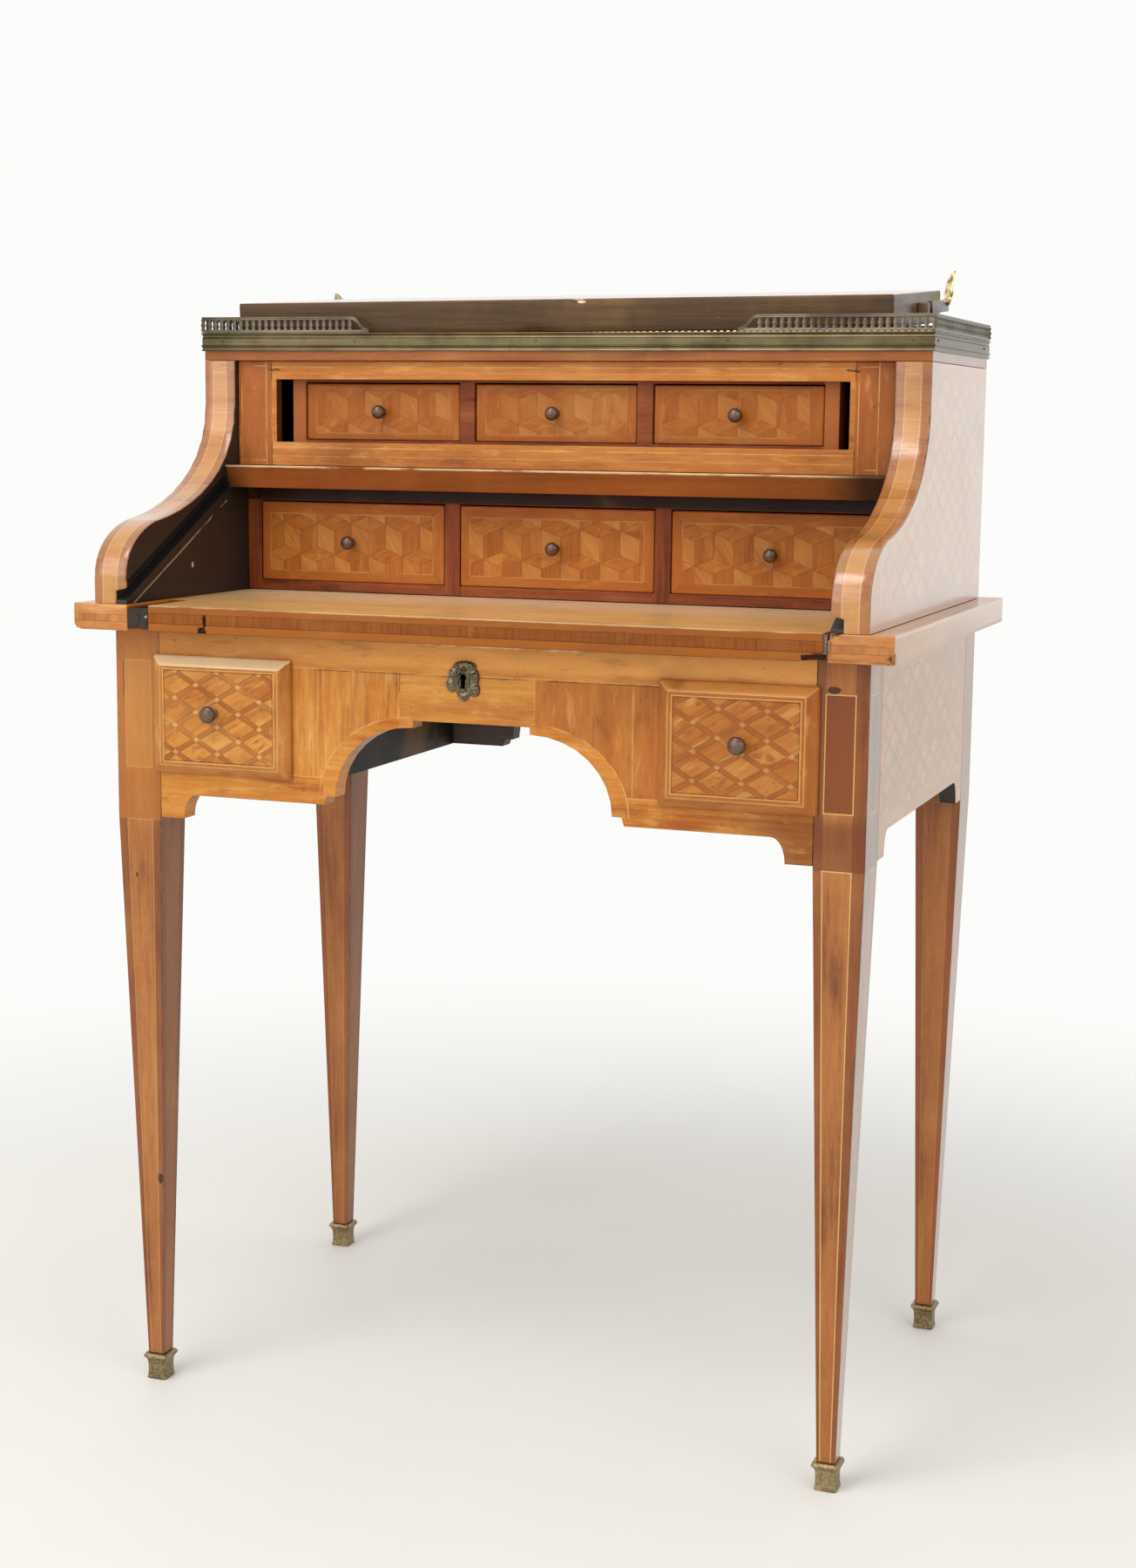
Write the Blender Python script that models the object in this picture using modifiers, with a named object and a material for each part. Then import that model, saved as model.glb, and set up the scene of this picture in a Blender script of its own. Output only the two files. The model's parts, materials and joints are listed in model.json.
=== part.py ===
"""Slant-front writing desk, modelled piece by piece with its slant front taken out and laid on top.

Metres, +Z up. +X is the sitter's right, -Y is the front, and the origin is on the floor
under the middle of the base boards. All driving dimensions are named below.
"""

import math

import bmesh
import bpy
from mathutils import Euler, Vector

# Fits
CLEAR = 0.0003
RUN = 0.0008

# Lower carcass
CARCASS_WIDTH = 0.7014
CARCASS_DEPTH = 0.446
WRITING_HEIGHT = 0.745
APRON_HEIGHT = 0.150
APRON_THICK = 0.020
SIDE_PANEL_THICK = 0.016
BRACKET_DROP = 0.022
BRACKET_FLAT = 0.0235
BRACKET_CURVE = 0.0125
BRACKET_STEPS = 5
PARTITION_THICK = 0.0095
POCKET_FLOOR_THICK = 0.010

# Kneehole arch
ARCH_HALF = 0.130
ARCH_RISE = 0.066
ARCH_FLAT_HALF = 0.0565
ARCH_CROWN_HALF = 0.0545
ARCH_CROWN_RISE = 0.0065
ARCH_LEDGE = 0.0085
ARCH_STEP_RISE = 0.0075
ARCH_STEP_RUN = 0.0025
ARCH_STEPS = 8

# Legs and sabots
LEG_WIDTH = 0.0445
LEG_ANKLE_WIDTH = 0.017
LEG_TENON_WIDTH = 0.011
LEG_TENON_LENGTH = 0.017
SABOT_HEIGHT = 0.0255
SABOT_COLLAR_WIDTH = 0.0252
SABOT_COLLAR_THICK = 0.0045
SABOT_WAIST_WIDTH = 0.0186
SABOT_BASE_WIDTH = 0.020

# Base boards and writing slide
BASE_THICK = 0.0236
BASE_FRONT_OVERHANG = 0.0292
BASE_BACK_OVERHANG = 0.0056
BASE_SIDE_OVERHANG = 0.0252
BASE_BOARD_WIDTH = 0.0545
BASE_EDGE_BEVEL = 0.0012
BACK_RAIL_WIDTH = 0.050
SLIDE_RAIL_DEPTH = 0.075
SLIDE_RELIEF = 0.009
SLIDE_END_GAP = 0.0046
HINGE_PLATE_WIDTH = 0.0205
HINGE_PLATE_RECESS = 0.0025

# Upper carcass
UPPER_SETBACK = 0.1804
UPPER_BACK_INSET = 0.0134
UPPER_SIDE_OVERHANG = 0.0045
UPPER_SIDE_THICK = 0.0326
UPPER_HEADROOM = 0.0115
BACK_BOARD_THICK = 0.012
TOP_THICK = 0.0239

# Scroll sides
SCROLL_FOOT_SETBACK = 0.0023
SCROLL_FOOT_RISE = 0.0225
SCROLL_SHOULDER_RUN = 0.057
SCROLL_SHOULDER_RISE = 0.0725
SCROLL_SWEEP_RISE = 0.180
SCROLL_ROUND_IN = (0.0, 0.58)
SCROLL_ROUND_OUT = (0.48, 0.10)
SCROLL_SWEEP_IN = (0.465, 0.084)
SCROLL_SWEEP_OUT = (0.0, 0.605)
SCROLL_STEPS = 10
GROOVE_WIDTH = 0.015
GROOVE_DEPTH = 0.012
GROOVE_FOOT_RUN = 0.0045
GROOVE_FOOT_RISE = 0.0055

# Shelf, drawer nests and the frame in front of the upper nest
SHELF_THICK = 0.0212
SHELF_PROUD = 0.0126
LOWER_NEST_SETBACK = 0.0236
LOWER_FLOOR_THICK = 0.0092
LOWER_RAIL_THICK = 0.0125
LOWER_POST_WIDTH = 0.0146
LOWER_DIVIDER_WIDTH = 0.0155
UPPER_FLOOR_THICK = 0.0245
UPPER_RAIL_THICK = 0.008
UPPER_POST_WIDTH = 0.0135
UPPER_DIVIDER_WIDTH = 0.015
FRAME_SETBACK = 0.0061
FRAME_THICK = 0.0115
FRAME_STILE_WIDTH = 0.0411
FRAME_REVEAL = 0.0023
NEST_END_GAP = 0.012

# Drawers and knobs
LOWER_DRAWER_HEIGHT = 0.0758
UPPER_DRAWER_HEIGHT = 0.053
UPPER_DRAWER_SETBACK = 0.0017
DRAWER_FRONT_THICK = 0.012
DRAWER_WALL = 0.007
DRAWER_BOTTOM_THICK = 0.005
DRAWER_BACK_GAP = 0.002
DRAWER_EDGE_BEVEL = 0.0010
INNER_KNOB_DIAMETER = 0.013
INNER_KNOB_LENGTH = 0.0155
APRON_FRONT_WIDTH = 0.138
APRON_FRONT_HEIGHT = 0.108
APRON_FRONT_DROP = 0.022
APRON_FRONT_LAP = 0.0035
APRON_FRONT_PROUD = 0.011
APRON_FRONT_EDGE = 0.0045
APRON_FRONT_BEVEL = 0.009
APRON_BOX_OUTER_INSET = 0.0065
APRON_BOX_INNER_INSET = 0.0365
APRON_BOX_BOTTOM_INSET = 0.0065
APRON_BOX_TOP_INSET = 0.0075
APRON_KNOB_DIAMETER = 0.0155
APRON_KNOB_LENGTH = 0.016
APRON_KNOB_OUT = 0.0045
APRON_KNOB_LIFT = 0.0035

# Lock
LOCK_OFFSET_X = -0.0065
LOCK_WIDTH = 0.060
LOCK_HEIGHT = 0.045
LOCK_DEPTH = 0.014
LOCK_TOP_GAP = 0.0008
BOLT_WIDTH = 0.018
BOLT_THICK = 0.005
BOLT_LENGTH = 0.020
BOLT_TRAVEL = 0.008
KEYHOLE_RADIUS = 0.0026
KEYHOLE_SLOT = 0.0095
KEYHOLE_DROP = 0.030
ESCUTCHEON_HALF_WIDTH = 0.0155
ESCUTCHEON_HALF_HEIGHT = 0.0172
ESCUTCHEON_LOBE = 0.0012
ESCUTCHEON_THICK = 0.004

# Brass band and gallery round the top
BAND_HEIGHT = 0.0169
BAND_THICK = 0.0018
BAND_LIP = 0.002
GALLERY_HEIGHT = 0.0149
GALLERY_THICK = 0.0014
GALLERY_PITCH = 0.0068
GALLERY_SLOT_WIDTH = 0.0038
GALLERY_TOP_RAIL = 0.0032
GALLERY_BOTTOM_RAIL = 0.0026
GALLERY_GAP_HALF = 0.180
GALLERY_SWOOP = 0.020

# Lid lying on top
LID_THICK = 0.030
LID_SIDE_GAP = 0.0045
LID_END_LAP = 0.0095
LID_OFFSET_X = -0.0029
LID_FRONT_SETBACK = 0.0085
LID_BACK_GAP = 0.0218
LID_ROLL_DEG = 0.39
LID_YAW_DEG = 1.16
LID_EDGE_BEVEL = 0.0015
PEG_DIAMETER = 0.012
PEG_LENGTH = 0.010
STRAP_LAP = 0.059
STRAP_REACH = 0.0235
STRAP_HEIGHT = 0.0115
STRAP_THICK = 0.0035
LEAF_HEIGHT = 0.019
LEAF_WIDTH = 0.011
LEAF_LEAN = 0.004

# Places worked out from the sizes above
half_carcass = CARCASS_WIDTH / 2
base_depth = CARCASS_DEPTH + BASE_FRONT_OVERHANG + BASE_BACK_OVERHANG
base_front = -base_depth / 2
base_back = base_depth / 2
base_half = half_carcass + BASE_SIDE_OVERHANG
base_inner = base_half - BASE_BOARD_WIDTH
base_under = WRITING_HEIGHT - BASE_THICK
carcass_front = base_front + BASE_FRONT_OVERHANG
carcass_back = carcass_front + CARCASS_DEPTH
apron_bottom = base_under - APRON_HEIGHT
bracket_bottom = apron_bottom - BRACKET_DROP
leg_inner = half_carcass - LEG_WIDTH

front_outer = leg_inner + APRON_FRONT_LAP
front_inner = front_outer - APRON_FRONT_WIDTH
front_top = base_under - APRON_FRONT_DROP
front_bottom = front_top - APRON_FRONT_HEIGHT
box_outer = front_outer - APRON_BOX_OUTER_INSET
box_inner = front_inner + APRON_BOX_INNER_INSET
box_bottom = front_bottom + APRON_BOX_BOTTOM_INSET
box_top = front_top - APRON_BOX_TOP_INSET
partition_outer = box_inner - RUN - CLEAR
partition_inner = partition_outer - PARTITION_THICK
pocket_floor_top = box_bottom - CLEAR

upper_half = half_carcass + UPPER_SIDE_OVERHANG
inner_half = upper_half - UPPER_SIDE_THICK
upper_front = carcass_front + UPPER_SETBACK
upper_back = carcass_back - UPPER_BACK_INSET
back_board_front = upper_back - BACK_BOARD_THICK

lower_floor_bottom = WRITING_HEIGHT + RUN
lower_cell_bottom = lower_floor_bottom + LOWER_FLOOR_THICK
lower_cell_top = lower_cell_bottom + LOWER_DRAWER_HEIGHT + 2 * RUN
shelf_bottom = lower_cell_top + LOWER_RAIL_THICK + CLEAR
shelf_top = shelf_bottom + SHELF_THICK
upper_floor_bottom = shelf_top + CLEAR
upper_cell_bottom = upper_floor_bottom + UPPER_FLOOR_THICK
upper_cell_top = upper_cell_bottom + UPPER_DRAWER_HEIGHT + 2 * RUN
side_top = upper_cell_top + UPPER_RAIL_THICK + UPPER_HEADROOM
top_bottom = side_top + CLEAR
top_surface = top_bottom + TOP_THICK
band_top = top_surface + BAND_LIP
gallery_bottom = band_top + CLEAR
gallery_top = gallery_bottom + GALLERY_HEIGHT

scroll_front = base_front + SCROLL_FOOT_SETBACK
shelf_front = upper_front - SHELF_PROUD
groove_foot = Vector((scroll_front + GROOVE_FOOT_RUN, WRITING_HEIGHT + GROOVE_FOOT_RISE))
groove_head = Vector((shelf_front, shelf_bottom))
groove_angle = math.atan2(groove_head.y - groove_foot.y, groove_head.x - groove_foot.x)
groove_length = (groove_head - groove_foot).length

frame_front = upper_front + FRAME_SETBACK
upper_nest_front = frame_front + FRAME_THICK + CLEAR
upper_nest_half = inner_half - FRAME_STILE_WIDTH - NEST_END_GAP
lower_nest_front = upper_front + LOWER_NEST_SETBACK
lower_nest_half = inner_half - CLEAR
nest_back = back_board_front - CLEAR

slide_rail_back = base_front + SLIDE_RAIL_DEPTH
slide_bottom = base_under + SLIDE_RELIEF
slide_back = base_back - BACK_RAIL_WIDTH - RUN
lock_y = carcass_front + APRON_THICK + CLEAR + LOCK_DEPTH / 2
lock_top = base_under - LOCK_TOP_GAP
keyhole_z = base_under - KEYHOLE_DROP

parts = bpy.data.collections.new("slant_front_desk")
cutters = bpy.data.collections.new("cutters")


def clear_scene():
    """Empty the scene and add the two collections of the desk."""
    for obj in list(bpy.data.objects):
        bpy.data.objects.remove(obj, do_unlink=True)
    bpy.context.scene.collection.children.link(parts)
    bpy.context.scene.collection.children.link(cutters)


def finish(name, colour, roughness, metallic):
    """A plain Principled material."""
    material = bpy.data.materials.new(name)
    material.use_nodes = True
    shader = material.node_tree.nodes["Principled BSDF"]
    shader.inputs["Base Color"].default_value = (*colour, 1)
    shader.inputs["Roughness"].default_value = roughness
    shader.inputs["Metallic"].default_value = metallic
    return material


SATINWOOD = finish("satinwood", (0.45, 0.20, 0.07), 0.4, 0)
ROSEWOOD = finish("reddish_rail_wood", (0.28, 0.09, 0.035), 0.45, 0)
DARK_WOOD = finish("dark_inner_wood", (0.06, 0.03, 0.018), 0.6, 0)
BRONZE = finish("old_brass", (0.26, 0.20, 0.10), 0.4, 1)
IRON = finish("dark_iron", (0.08, 0.07, 0.06), 0.5, 1)


def add(name, data, material, location=(0, 0, 0), rotation=(0, 0, 0), parent=None):
    """Put an object with this data in the desk's collection."""
    obj = bpy.data.objects.new(name, data)
    obj.location = location
    obj.rotation_euler = rotation
    obj.parent = parent
    if data is not None:
        data.materials.append(material)
    parts.objects.link(obj)
    return obj


def cube_mesh(name, size):
    """A box mesh of this size about its own origin."""
    mesh = bpy.data.meshes.new(name)
    cube = bmesh.new()
    bmesh.ops.create_cube(cube, size=1)
    bmesh.ops.scale(cube, vec=Vector(size), verts=cube.verts)
    cube.to_mesh(mesh)
    cube.free()
    return mesh


def middle_and_size(low, high):
    """The centre and the size of the box between two corners."""
    low, high = Vector(low), Vector(high)
    return (low + high) / 2, high - low


def box(name, low, high, material, bevel=0, parent=None):
    """A board between two corners, with small bevels where they show."""
    centre, size = middle_and_size(low, high)
    home = parent.location if parent else Vector((0, 0, 0))
    obj = add(name, cube_mesh(name, size), material, centre - home, parent=parent)
    if bevel:
        soften = obj.modifiers.new("edges", "BEVEL")
        soften.width = bevel
        soften.segments = 1
    return obj


def cut(obj, low, high, turn=None):
    """Take a box out of an object, turned about its own centre by an Euler if given."""
    centre, size = middle_and_size(low, high)
    cutter = bpy.data.objects.new(obj.name + "_cut", cube_mesh(obj.name + "_cut", size))
    cutter.location = centre
    if turn:
        cutter.rotation_euler = turn
    cutter.hide_render = True
    cutter.display_type = "WIRE"
    cutters.objects.link(cutter)
    boolean = obj.modifiers.new("cut", "BOOLEAN")
    boolean.operation = "DIFFERENCE"
    boolean.object = cutter


def unite(obj, other):
    """Join another object into this one with a Boolean union."""
    parts.objects.unlink(other)
    cutters.objects.link(other)
    other.hide_render = True
    other.display_type = "WIRE"
    boolean = obj.modifiers.new("join", "BOOLEAN")
    boolean.operation = "UNION"
    boolean.object = other


PLANES = {
    "XY": Euler((0, 0, 0)),
    "XZ": Euler((math.radians(90), 0, 0)),
    "YZ": Euler((math.radians(90), 0, math.radians(90))),
}
NORMALS = {"XY": Vector((0, 0, 1)), "XZ": Vector((0, 1, 0)), "YZ": Vector((1, 0, 0))}


def outline(name, loops, plane, low, high, material, parent=None):
    """A flat outline, with any further loops as holes, between two places along its normal."""
    curve = bpy.data.curves.new(name, "CURVE")
    curve.dimensions = "2D"
    curve.fill_mode = "BOTH"
    curve.extrude = (high - low) / 2
    for loop in loops:
        spline = curve.splines.new("POLY")
        spline.points.add(len(loop) - 1)
        for point, (across, up) in zip(spline.points, loop):
            point.co = (across, up, 0, 1)
        spline.use_cyclic_u = True
    place = NORMALS[plane] * (low + high) / 2
    return add(name, curve, material, place, PLANES[plane], parent)


def as_mesh(obj):
    """The same object as a mesh with its caps welded, so that it can be cut."""
    name, material, parent = obj.name, obj.data.materials[0], obj.parent
    bpy.context.view_layer.update()
    graph = bpy.context.evaluated_depsgraph_get()
    mesh = bpy.data.meshes.new_from_object(obj.evaluated_get(graph))
    weld = bmesh.new()
    weld.from_mesh(mesh)
    bmesh.ops.remove_doubles(weld, verts=weld.verts, dist=1e-6)
    weld.to_mesh(mesh)
    weld.free()
    place = obj.matrix_world.copy()
    curve = obj.data
    bpy.data.objects.remove(obj, do_unlink=True)
    bpy.data.curves.remove(curve)
    mesh.materials.clear()
    solid = add(name, mesh, material, parent=parent)
    solid.matrix_world = place
    return solid


def turned(name, profile, steps, material, location=(0, 0, 0), rotation=(0, 0, 0), parent=None):
    """A profile of (radius, height) points, top to bottom, swept round Z in this many steps."""
    mesh = bpy.data.meshes.new(name)
    edge = bmesh.new()
    verts = [edge.verts.new((radius, 0, height)) for radius, height in profile]
    for start, end in zip(verts, verts[1:]):
        edge.edges.new((start, end))
    edge.to_mesh(mesh)
    edge.free()
    obj = add(name, mesh, material, location, rotation, parent)
    screw = obj.modifiers.new("turn", "SCREW")
    screw.steps = screw.render_steps = steps
    screw.use_merge_vertices = True
    screw.merge_threshold = 1e-5
    screw.use_smooth_shade = steps > 4
    return obj


def square_turned(name, sections, material, location):
    """A square post from (width, height) sections, top to bottom."""
    corner = math.sqrt(0.5)
    profile = [(width * corner, height) for width, height in sections]
    profile = [(0, profile[0][1]), *profile, (0, profile[-1][1])]
    return turned(name, profile, 4, material, location, (0, 0, math.radians(45)))


def rectangle(left, right, bottom, top):
    """The four corners of a rectangle."""
    return [(left, bottom), (right, bottom), (right, top), (left, top)]


def arc(centre, radii, start_deg, end_deg, steps):
    """Points of an ellipse's arc."""
    points = []
    for i in range(steps + 1):
        angle = math.radians(start_deg + (end_deg - start_deg) * i / steps)
        points.append((centre[0] + radii[0] * math.cos(angle), centre[1] + radii[1] * math.sin(angle)))
    return points


def bezier(start, start_handle, end_handle, end, steps):
    """Points of a cubic curve, without its first point."""
    points = []
    for i in range(1, steps + 1):
        t = i / steps
        weights = ((1 - t) ** 3, 3 * t * (1 - t) ** 2, 3 * t * t * (1 - t), t**3)
        knots = (start, start_handle, end_handle, end)
        points.append(tuple(sum(w * k[axis] for w, k in zip(weights, knots)) for axis in (0, 1)))
    return points


def handled(start, start_share, end_share, end):
    """A scroll curve whose handles are shares of its own run and rise."""
    reach = (end[0] - start[0], end[1] - start[1])
    leave = tuple(a + share * r for a, share, r in zip(start, start_share, reach))
    arrive = tuple(a - share * r for a, share, r in zip(end, end_share, reach))
    return bezier(start, leave, arrive, end, SCROLL_STEPS)


def mirrored(points):
    """The same points on the other side of the middle plane, in reverse order."""
    return [(-across, up) for across, up in reversed(points)]


def bracket(corner, toward):
    """The curved bracket that meets a leg, from the leg to the straight lower edge."""
    centre = (corner + toward * (BRACKET_FLAT + BRACKET_CURVE), bracket_bottom)
    radii = (-toward * BRACKET_CURVE, BRACKET_DROP)
    return [(corner, bracket_bottom), *arc(centre, radii, 0, 90, BRACKET_STEPS)]


def apron_outline():
    """Front and back aprons: brackets at the legs and a stepped arch over the knees."""
    end = leg_inner - CLEAR
    arch_bottom = apron_bottom + ARCH_STEP_RISE
    ledge_end = ARCH_HALF + ARCH_LEDGE
    left = bracket(-end, 1)
    left.append((-ledge_end - ARCH_STEP_RUN, apron_bottom))
    left.append((-ledge_end, arch_bottom))
    radii = (ARCH_HALF - ARCH_FLAT_HALF, ARCH_RISE)
    left += mirrored(arc((ARCH_FLAT_HALF, arch_bottom), radii, 90, 0, ARCH_STEPS))
    left.append((-ARCH_CROWN_HALF, arch_bottom + ARCH_RISE))
    left.append((-ARCH_CROWN_HALF, arch_bottom + ARCH_RISE + ARCH_CROWN_RISE))
    top = base_under - CLEAR
    return left + mirrored(left) + [(end, top), (-end, top)]


def keyhole(centre_x, centre_z):
    """A round keyhole with a slot below it."""
    slot_half = KEYHOLE_RADIUS / 2
    slot_angle = math.degrees(math.acos(slot_half / KEYHOLE_RADIUS))
    radii = (KEYHOLE_RADIUS, KEYHOLE_RADIUS)
    top = arc((centre_x, centre_z), radii, -slot_angle, 180 + slot_angle, 8)
    bottom = centre_z - KEYHOLE_SLOT
    return top + [(centre_x - slot_half, bottom), (centre_x + slot_half, bottom)]


def build_aprons():
    """Front apron with its two drawer openings and keyhole, and the back apron."""
    openings = []
    for side in (-1, 1):
        across = sorted((side * (box_inner - RUN), side * (box_outer + RUN)))
        openings.append(rectangle(*across, pocket_floor_top, box_top + RUN))
    front_loops = [apron_outline(), *openings, keyhole(LOCK_OFFSET_X, keyhole_z)]
    outline("front_apron", front_loops, "XZ", carcass_front, carcass_front + APRON_THICK, SATINWOOD)
    outline("back_apron", [apron_outline()], "XZ", carcass_back - APRON_THICK, carcass_back, SATINWOOD)


def build_side_panels():
    """Lower side panels between the legs, with a bracket at each leg."""
    front = carcass_front + LEG_WIDTH + CLEAR
    back = carcass_back - LEG_WIDTH - CLEAR
    lower = bracket(front, 1) + list(reversed(bracket(back, -1)))
    loop = lower + [(back, base_under - CLEAR), (front, base_under - CLEAR)]
    inner = half_carcass - SIDE_PANEL_THICK
    outline("left_side_panel", [loop], "YZ", -half_carcass, -inner, SATINWOOD)
    outline("right_side_panel", [loop], "YZ", inner, half_carcass, SATINWOOD)


def build_pockets():
    """Partition and floor of each apron drawer's pocket. The partitions also carry the slide."""
    front = carcass_front + APRON_THICK + CLEAR
    back = carcass_back - APRON_THICK - CLEAR
    step = slide_rail_back + RUN
    loop = [
        (front, apron_bottom),
        (back, apron_bottom),
        (back, base_under - CLEAR),
        (base_back - BACK_RAIL_WIDTH - RUN, base_under - CLEAR),
        (base_back - BACK_RAIL_WIDTH - RUN, slide_bottom - CLEAR),
        (step, slide_bottom - CLEAR),
        (step, base_under - CLEAR),
        (front, base_under - CLEAR),
    ]
    for side, word in ((-1, "left"), (1, "right")):
        walls = sorted((side * partition_inner, side * partition_outer))
        outline(f"{word}_partition", [loop], "YZ", *walls, DARK_WOOD)
        across = sorted((side * (partition_outer + CLEAR), side * (leg_inner - CLEAR)))
        low = (across[0], front, pocket_floor_top - POCKET_FLOOR_THICK)
        high = (across[1], back, pocket_floor_top)
        box(f"{word}_pocket_floor", low, high, DARK_WOOD)


def build_legs():
    """Square tapered legs that run up as corner posts, each standing in a brass sabot."""
    foot = SABOT_HEIGHT + CLEAR
    leg_sections = [
        (LEG_WIDTH, base_under - CLEAR),
        (LEG_WIDTH, bracket_bottom),
        (LEG_ANKLE_WIDTH, foot),
        (LEG_TENON_WIDTH, foot),
        (LEG_TENON_WIDTH, foot - LEG_TENON_LENGTH),
    ]
    neck = SABOT_HEIGHT - SABOT_COLLAR_THICK
    sabot_sections = [
        (SABOT_COLLAR_WIDTH, SABOT_HEIGHT),
        (SABOT_COLLAR_WIDTH, SABOT_HEIGHT - SABOT_COLLAR_THICK / 2),
        (SABOT_WAIST_WIDTH, neck),
        (SABOT_WAIST_WIDTH, neck / 2),
        (SABOT_BASE_WIDTH, 0),
    ]
    x_leg = half_carcass - LEG_WIDTH / 2
    y_legs = {"front": carcass_front + LEG_WIDTH / 2, "back": carcass_back - LEG_WIDTH / 2}
    socket_half = LEG_TENON_WIDTH / 2 + CLEAR
    for end, y in y_legs.items():
        for side, x in (("left", -x_leg), ("right", x_leg)):
            square_turned(f"{end}_{side}_leg", leg_sections, SATINWOOD, (x, y, 0))
            sabot = square_turned(f"{end}_{side}_sabot", sabot_sections, BRONZE, (x, y, 0))
            low = (x - socket_half, y - socket_half, foot - LEG_TENON_LENGTH - CLEAR)
            high = (x + socket_half, y + socket_half, SABOT_HEIGHT + LEG_TENON_LENGTH)
            cut(sabot, low, high)


def build_base():
    """The boards that the upper part stands on, left and right of the slide and behind it."""
    for side, word in ((-1, "left"), (1, "right")):
        across = sorted((side * base_inner, side * base_half))
        low = (across[0], base_front, base_under)
        high = (across[1], base_back, WRITING_HEIGHT)
        box(f"{word}_base_board", low, high, SATINWOOD, BASE_EDGE_BEVEL)
    low = (-base_inner + CLEAR, base_back - BACK_RAIL_WIDTH, base_under)
    high = (base_inner - CLEAR, base_back, WRITING_HEIGHT)
    box("back_base_rail", low, high, SATINWOOD)


def build_slide():
    """Writing slide that pulls out to the front: panel, front rail and the lid's hinge plate."""
    home = add("slide_axis", None, None, (0, base_front, WRITING_HEIGHT))
    low = (-base_inner + RUN, slide_rail_back + CLEAR, slide_bottom)
    high = (base_inner - RUN, slide_back, WRITING_HEIGHT)
    box("writing_slide", low, high, SATINWOOD, parent=home)
    rail_left = -base_inner + RUN + HINGE_PLATE_WIDTH + CLEAR
    low = (rail_left, base_front, base_under + CLEAR)
    high = (base_inner - SLIDE_END_GAP, slide_rail_back, WRITING_HEIGHT)
    rail = box("slide_front_rail", low, high, SATINWOOD, parent=home)
    play = Vector((BOLT_WIDTH / 2 + 2 * RUN, BOLT_THICK / 2 + 2 * RUN, 0))
    mouth = Vector((LOCK_OFFSET_X, lock_y, base_under))
    mortise_top = mouth + play + Vector((0, 0, BOLT_TRAVEL + RUN))
    cut(rail, mouth - play - Vector((0, 0, RUN)), mortise_top)
    low = (-base_inner + RUN, base_front + RUN, base_under + HINGE_PLATE_RECESS)
    high = (rail_left - CLEAR, slide_rail_back, WRITING_HEIGHT - HINGE_PLATE_RECESS)
    box("slide_hinge_plate", low, high, IRON, parent=home)


def scroll_outline():
    """Side of the upper part: a foot, a rounded shoulder and a hollow sweep up to the front."""
    bottom = WRITING_HEIGHT + CLEAR
    shoulder = (scroll_front + SCROLL_SHOULDER_RUN, WRITING_HEIGHT + SCROLL_SHOULDER_RISE)
    foot_top = (scroll_front, WRITING_HEIGHT + SCROLL_FOOT_RISE)
    sweep_top = (upper_front, WRITING_HEIGHT + SCROLL_SWEEP_RISE)
    loop = [(scroll_front, bottom), foot_top]
    loop += handled(foot_top, SCROLL_ROUND_IN, SCROLL_ROUND_OUT, shoulder)
    loop += handled(shoulder, SCROLL_SWEEP_IN, SCROLL_SWEEP_OUT, sweep_top)
    return loop + [(upper_front, side_top), (upper_back, side_top), (upper_back, bottom)]


def build_scroll_sides():
    """Scroll sides, each with the slanting groove that guides the lid's peg."""
    along = Vector((0, math.cos(groove_angle), math.sin(groove_angle)))
    square = Vector((0, -along.z, along.y))
    run_out = 4 * GROOVE_WIDTH
    length = groove_length + run_out
    foot = Vector((0, groove_foot.x, groove_foot.y))
    middle = foot + along * (length / 2 - run_out) + square * GROOVE_WIDTH / 2
    for side, word in ((-1, "left"), (1, "right")):
        walls = sorted((side * inner_half, side * upper_half))
        board = as_mesh(outline(f"{word}_scroll_side", [scroll_outline()], "YZ", *walls, SATINWOOD))
        centre = middle + Vector((side * inner_half, 0, 0))
        half = Vector((GROOVE_DEPTH, length / 2, GROOVE_WIDTH / 2))
        cut(board, centre - half, centre + half, Euler((groove_angle, 0, 0)))


def build_upper_case():
    """Shelf, back board, top board and the frame in front of the upper nest."""
    reach = inner_half - CLEAR
    bevel_run = SHELF_THICK * math.tan(groove_angle)
    shelf_loop = [
        (shelf_front, shelf_bottom),
        (nest_back, shelf_bottom),
        (nest_back, shelf_top),
        (shelf_front - bevel_run, shelf_top),
    ]
    outline("shelf", [shelf_loop], "YZ", -reach, reach, ROSEWOOD)
    low = (-reach, back_board_front, WRITING_HEIGHT + CLEAR)
    box("back_board", low, (reach, upper_back, side_top), DARK_WOOD)
    low = (-upper_half, upper_front, top_bottom)
    box("top_board", low, (upper_half, upper_back, top_surface), ROSEWOOD)
    opening_half = upper_nest_half + NEST_END_GAP
    opening = rectangle(
        -opening_half, opening_half, upper_cell_bottom - FRAME_REVEAL, upper_cell_top + FRAME_REVEAL
    )
    border = rectangle(-reach, reach, shelf_top + CLEAR, side_top)
    outline("upper_front_frame", [border, opening], "XZ", frame_front, frame_front + FRAME_THICK, SATINWOOD)


def cells(half, post, divider):
    """Left and right edges of the three equal drawer cells of a nest."""
    width = (2 * half - 2 * post - 2 * divider) / 3
    starts = [-half + post + i * (width + divider) for i in range(3)]
    return [(start, start + width) for start in starts]


LOWER_CELLS = cells(lower_nest_half, LOWER_POST_WIDTH, LOWER_DIVIDER_WIDTH)
UPPER_CELLS = cells(upper_nest_half, UPPER_POST_WIDTH, UPPER_DIVIDER_WIDTH)


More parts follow.
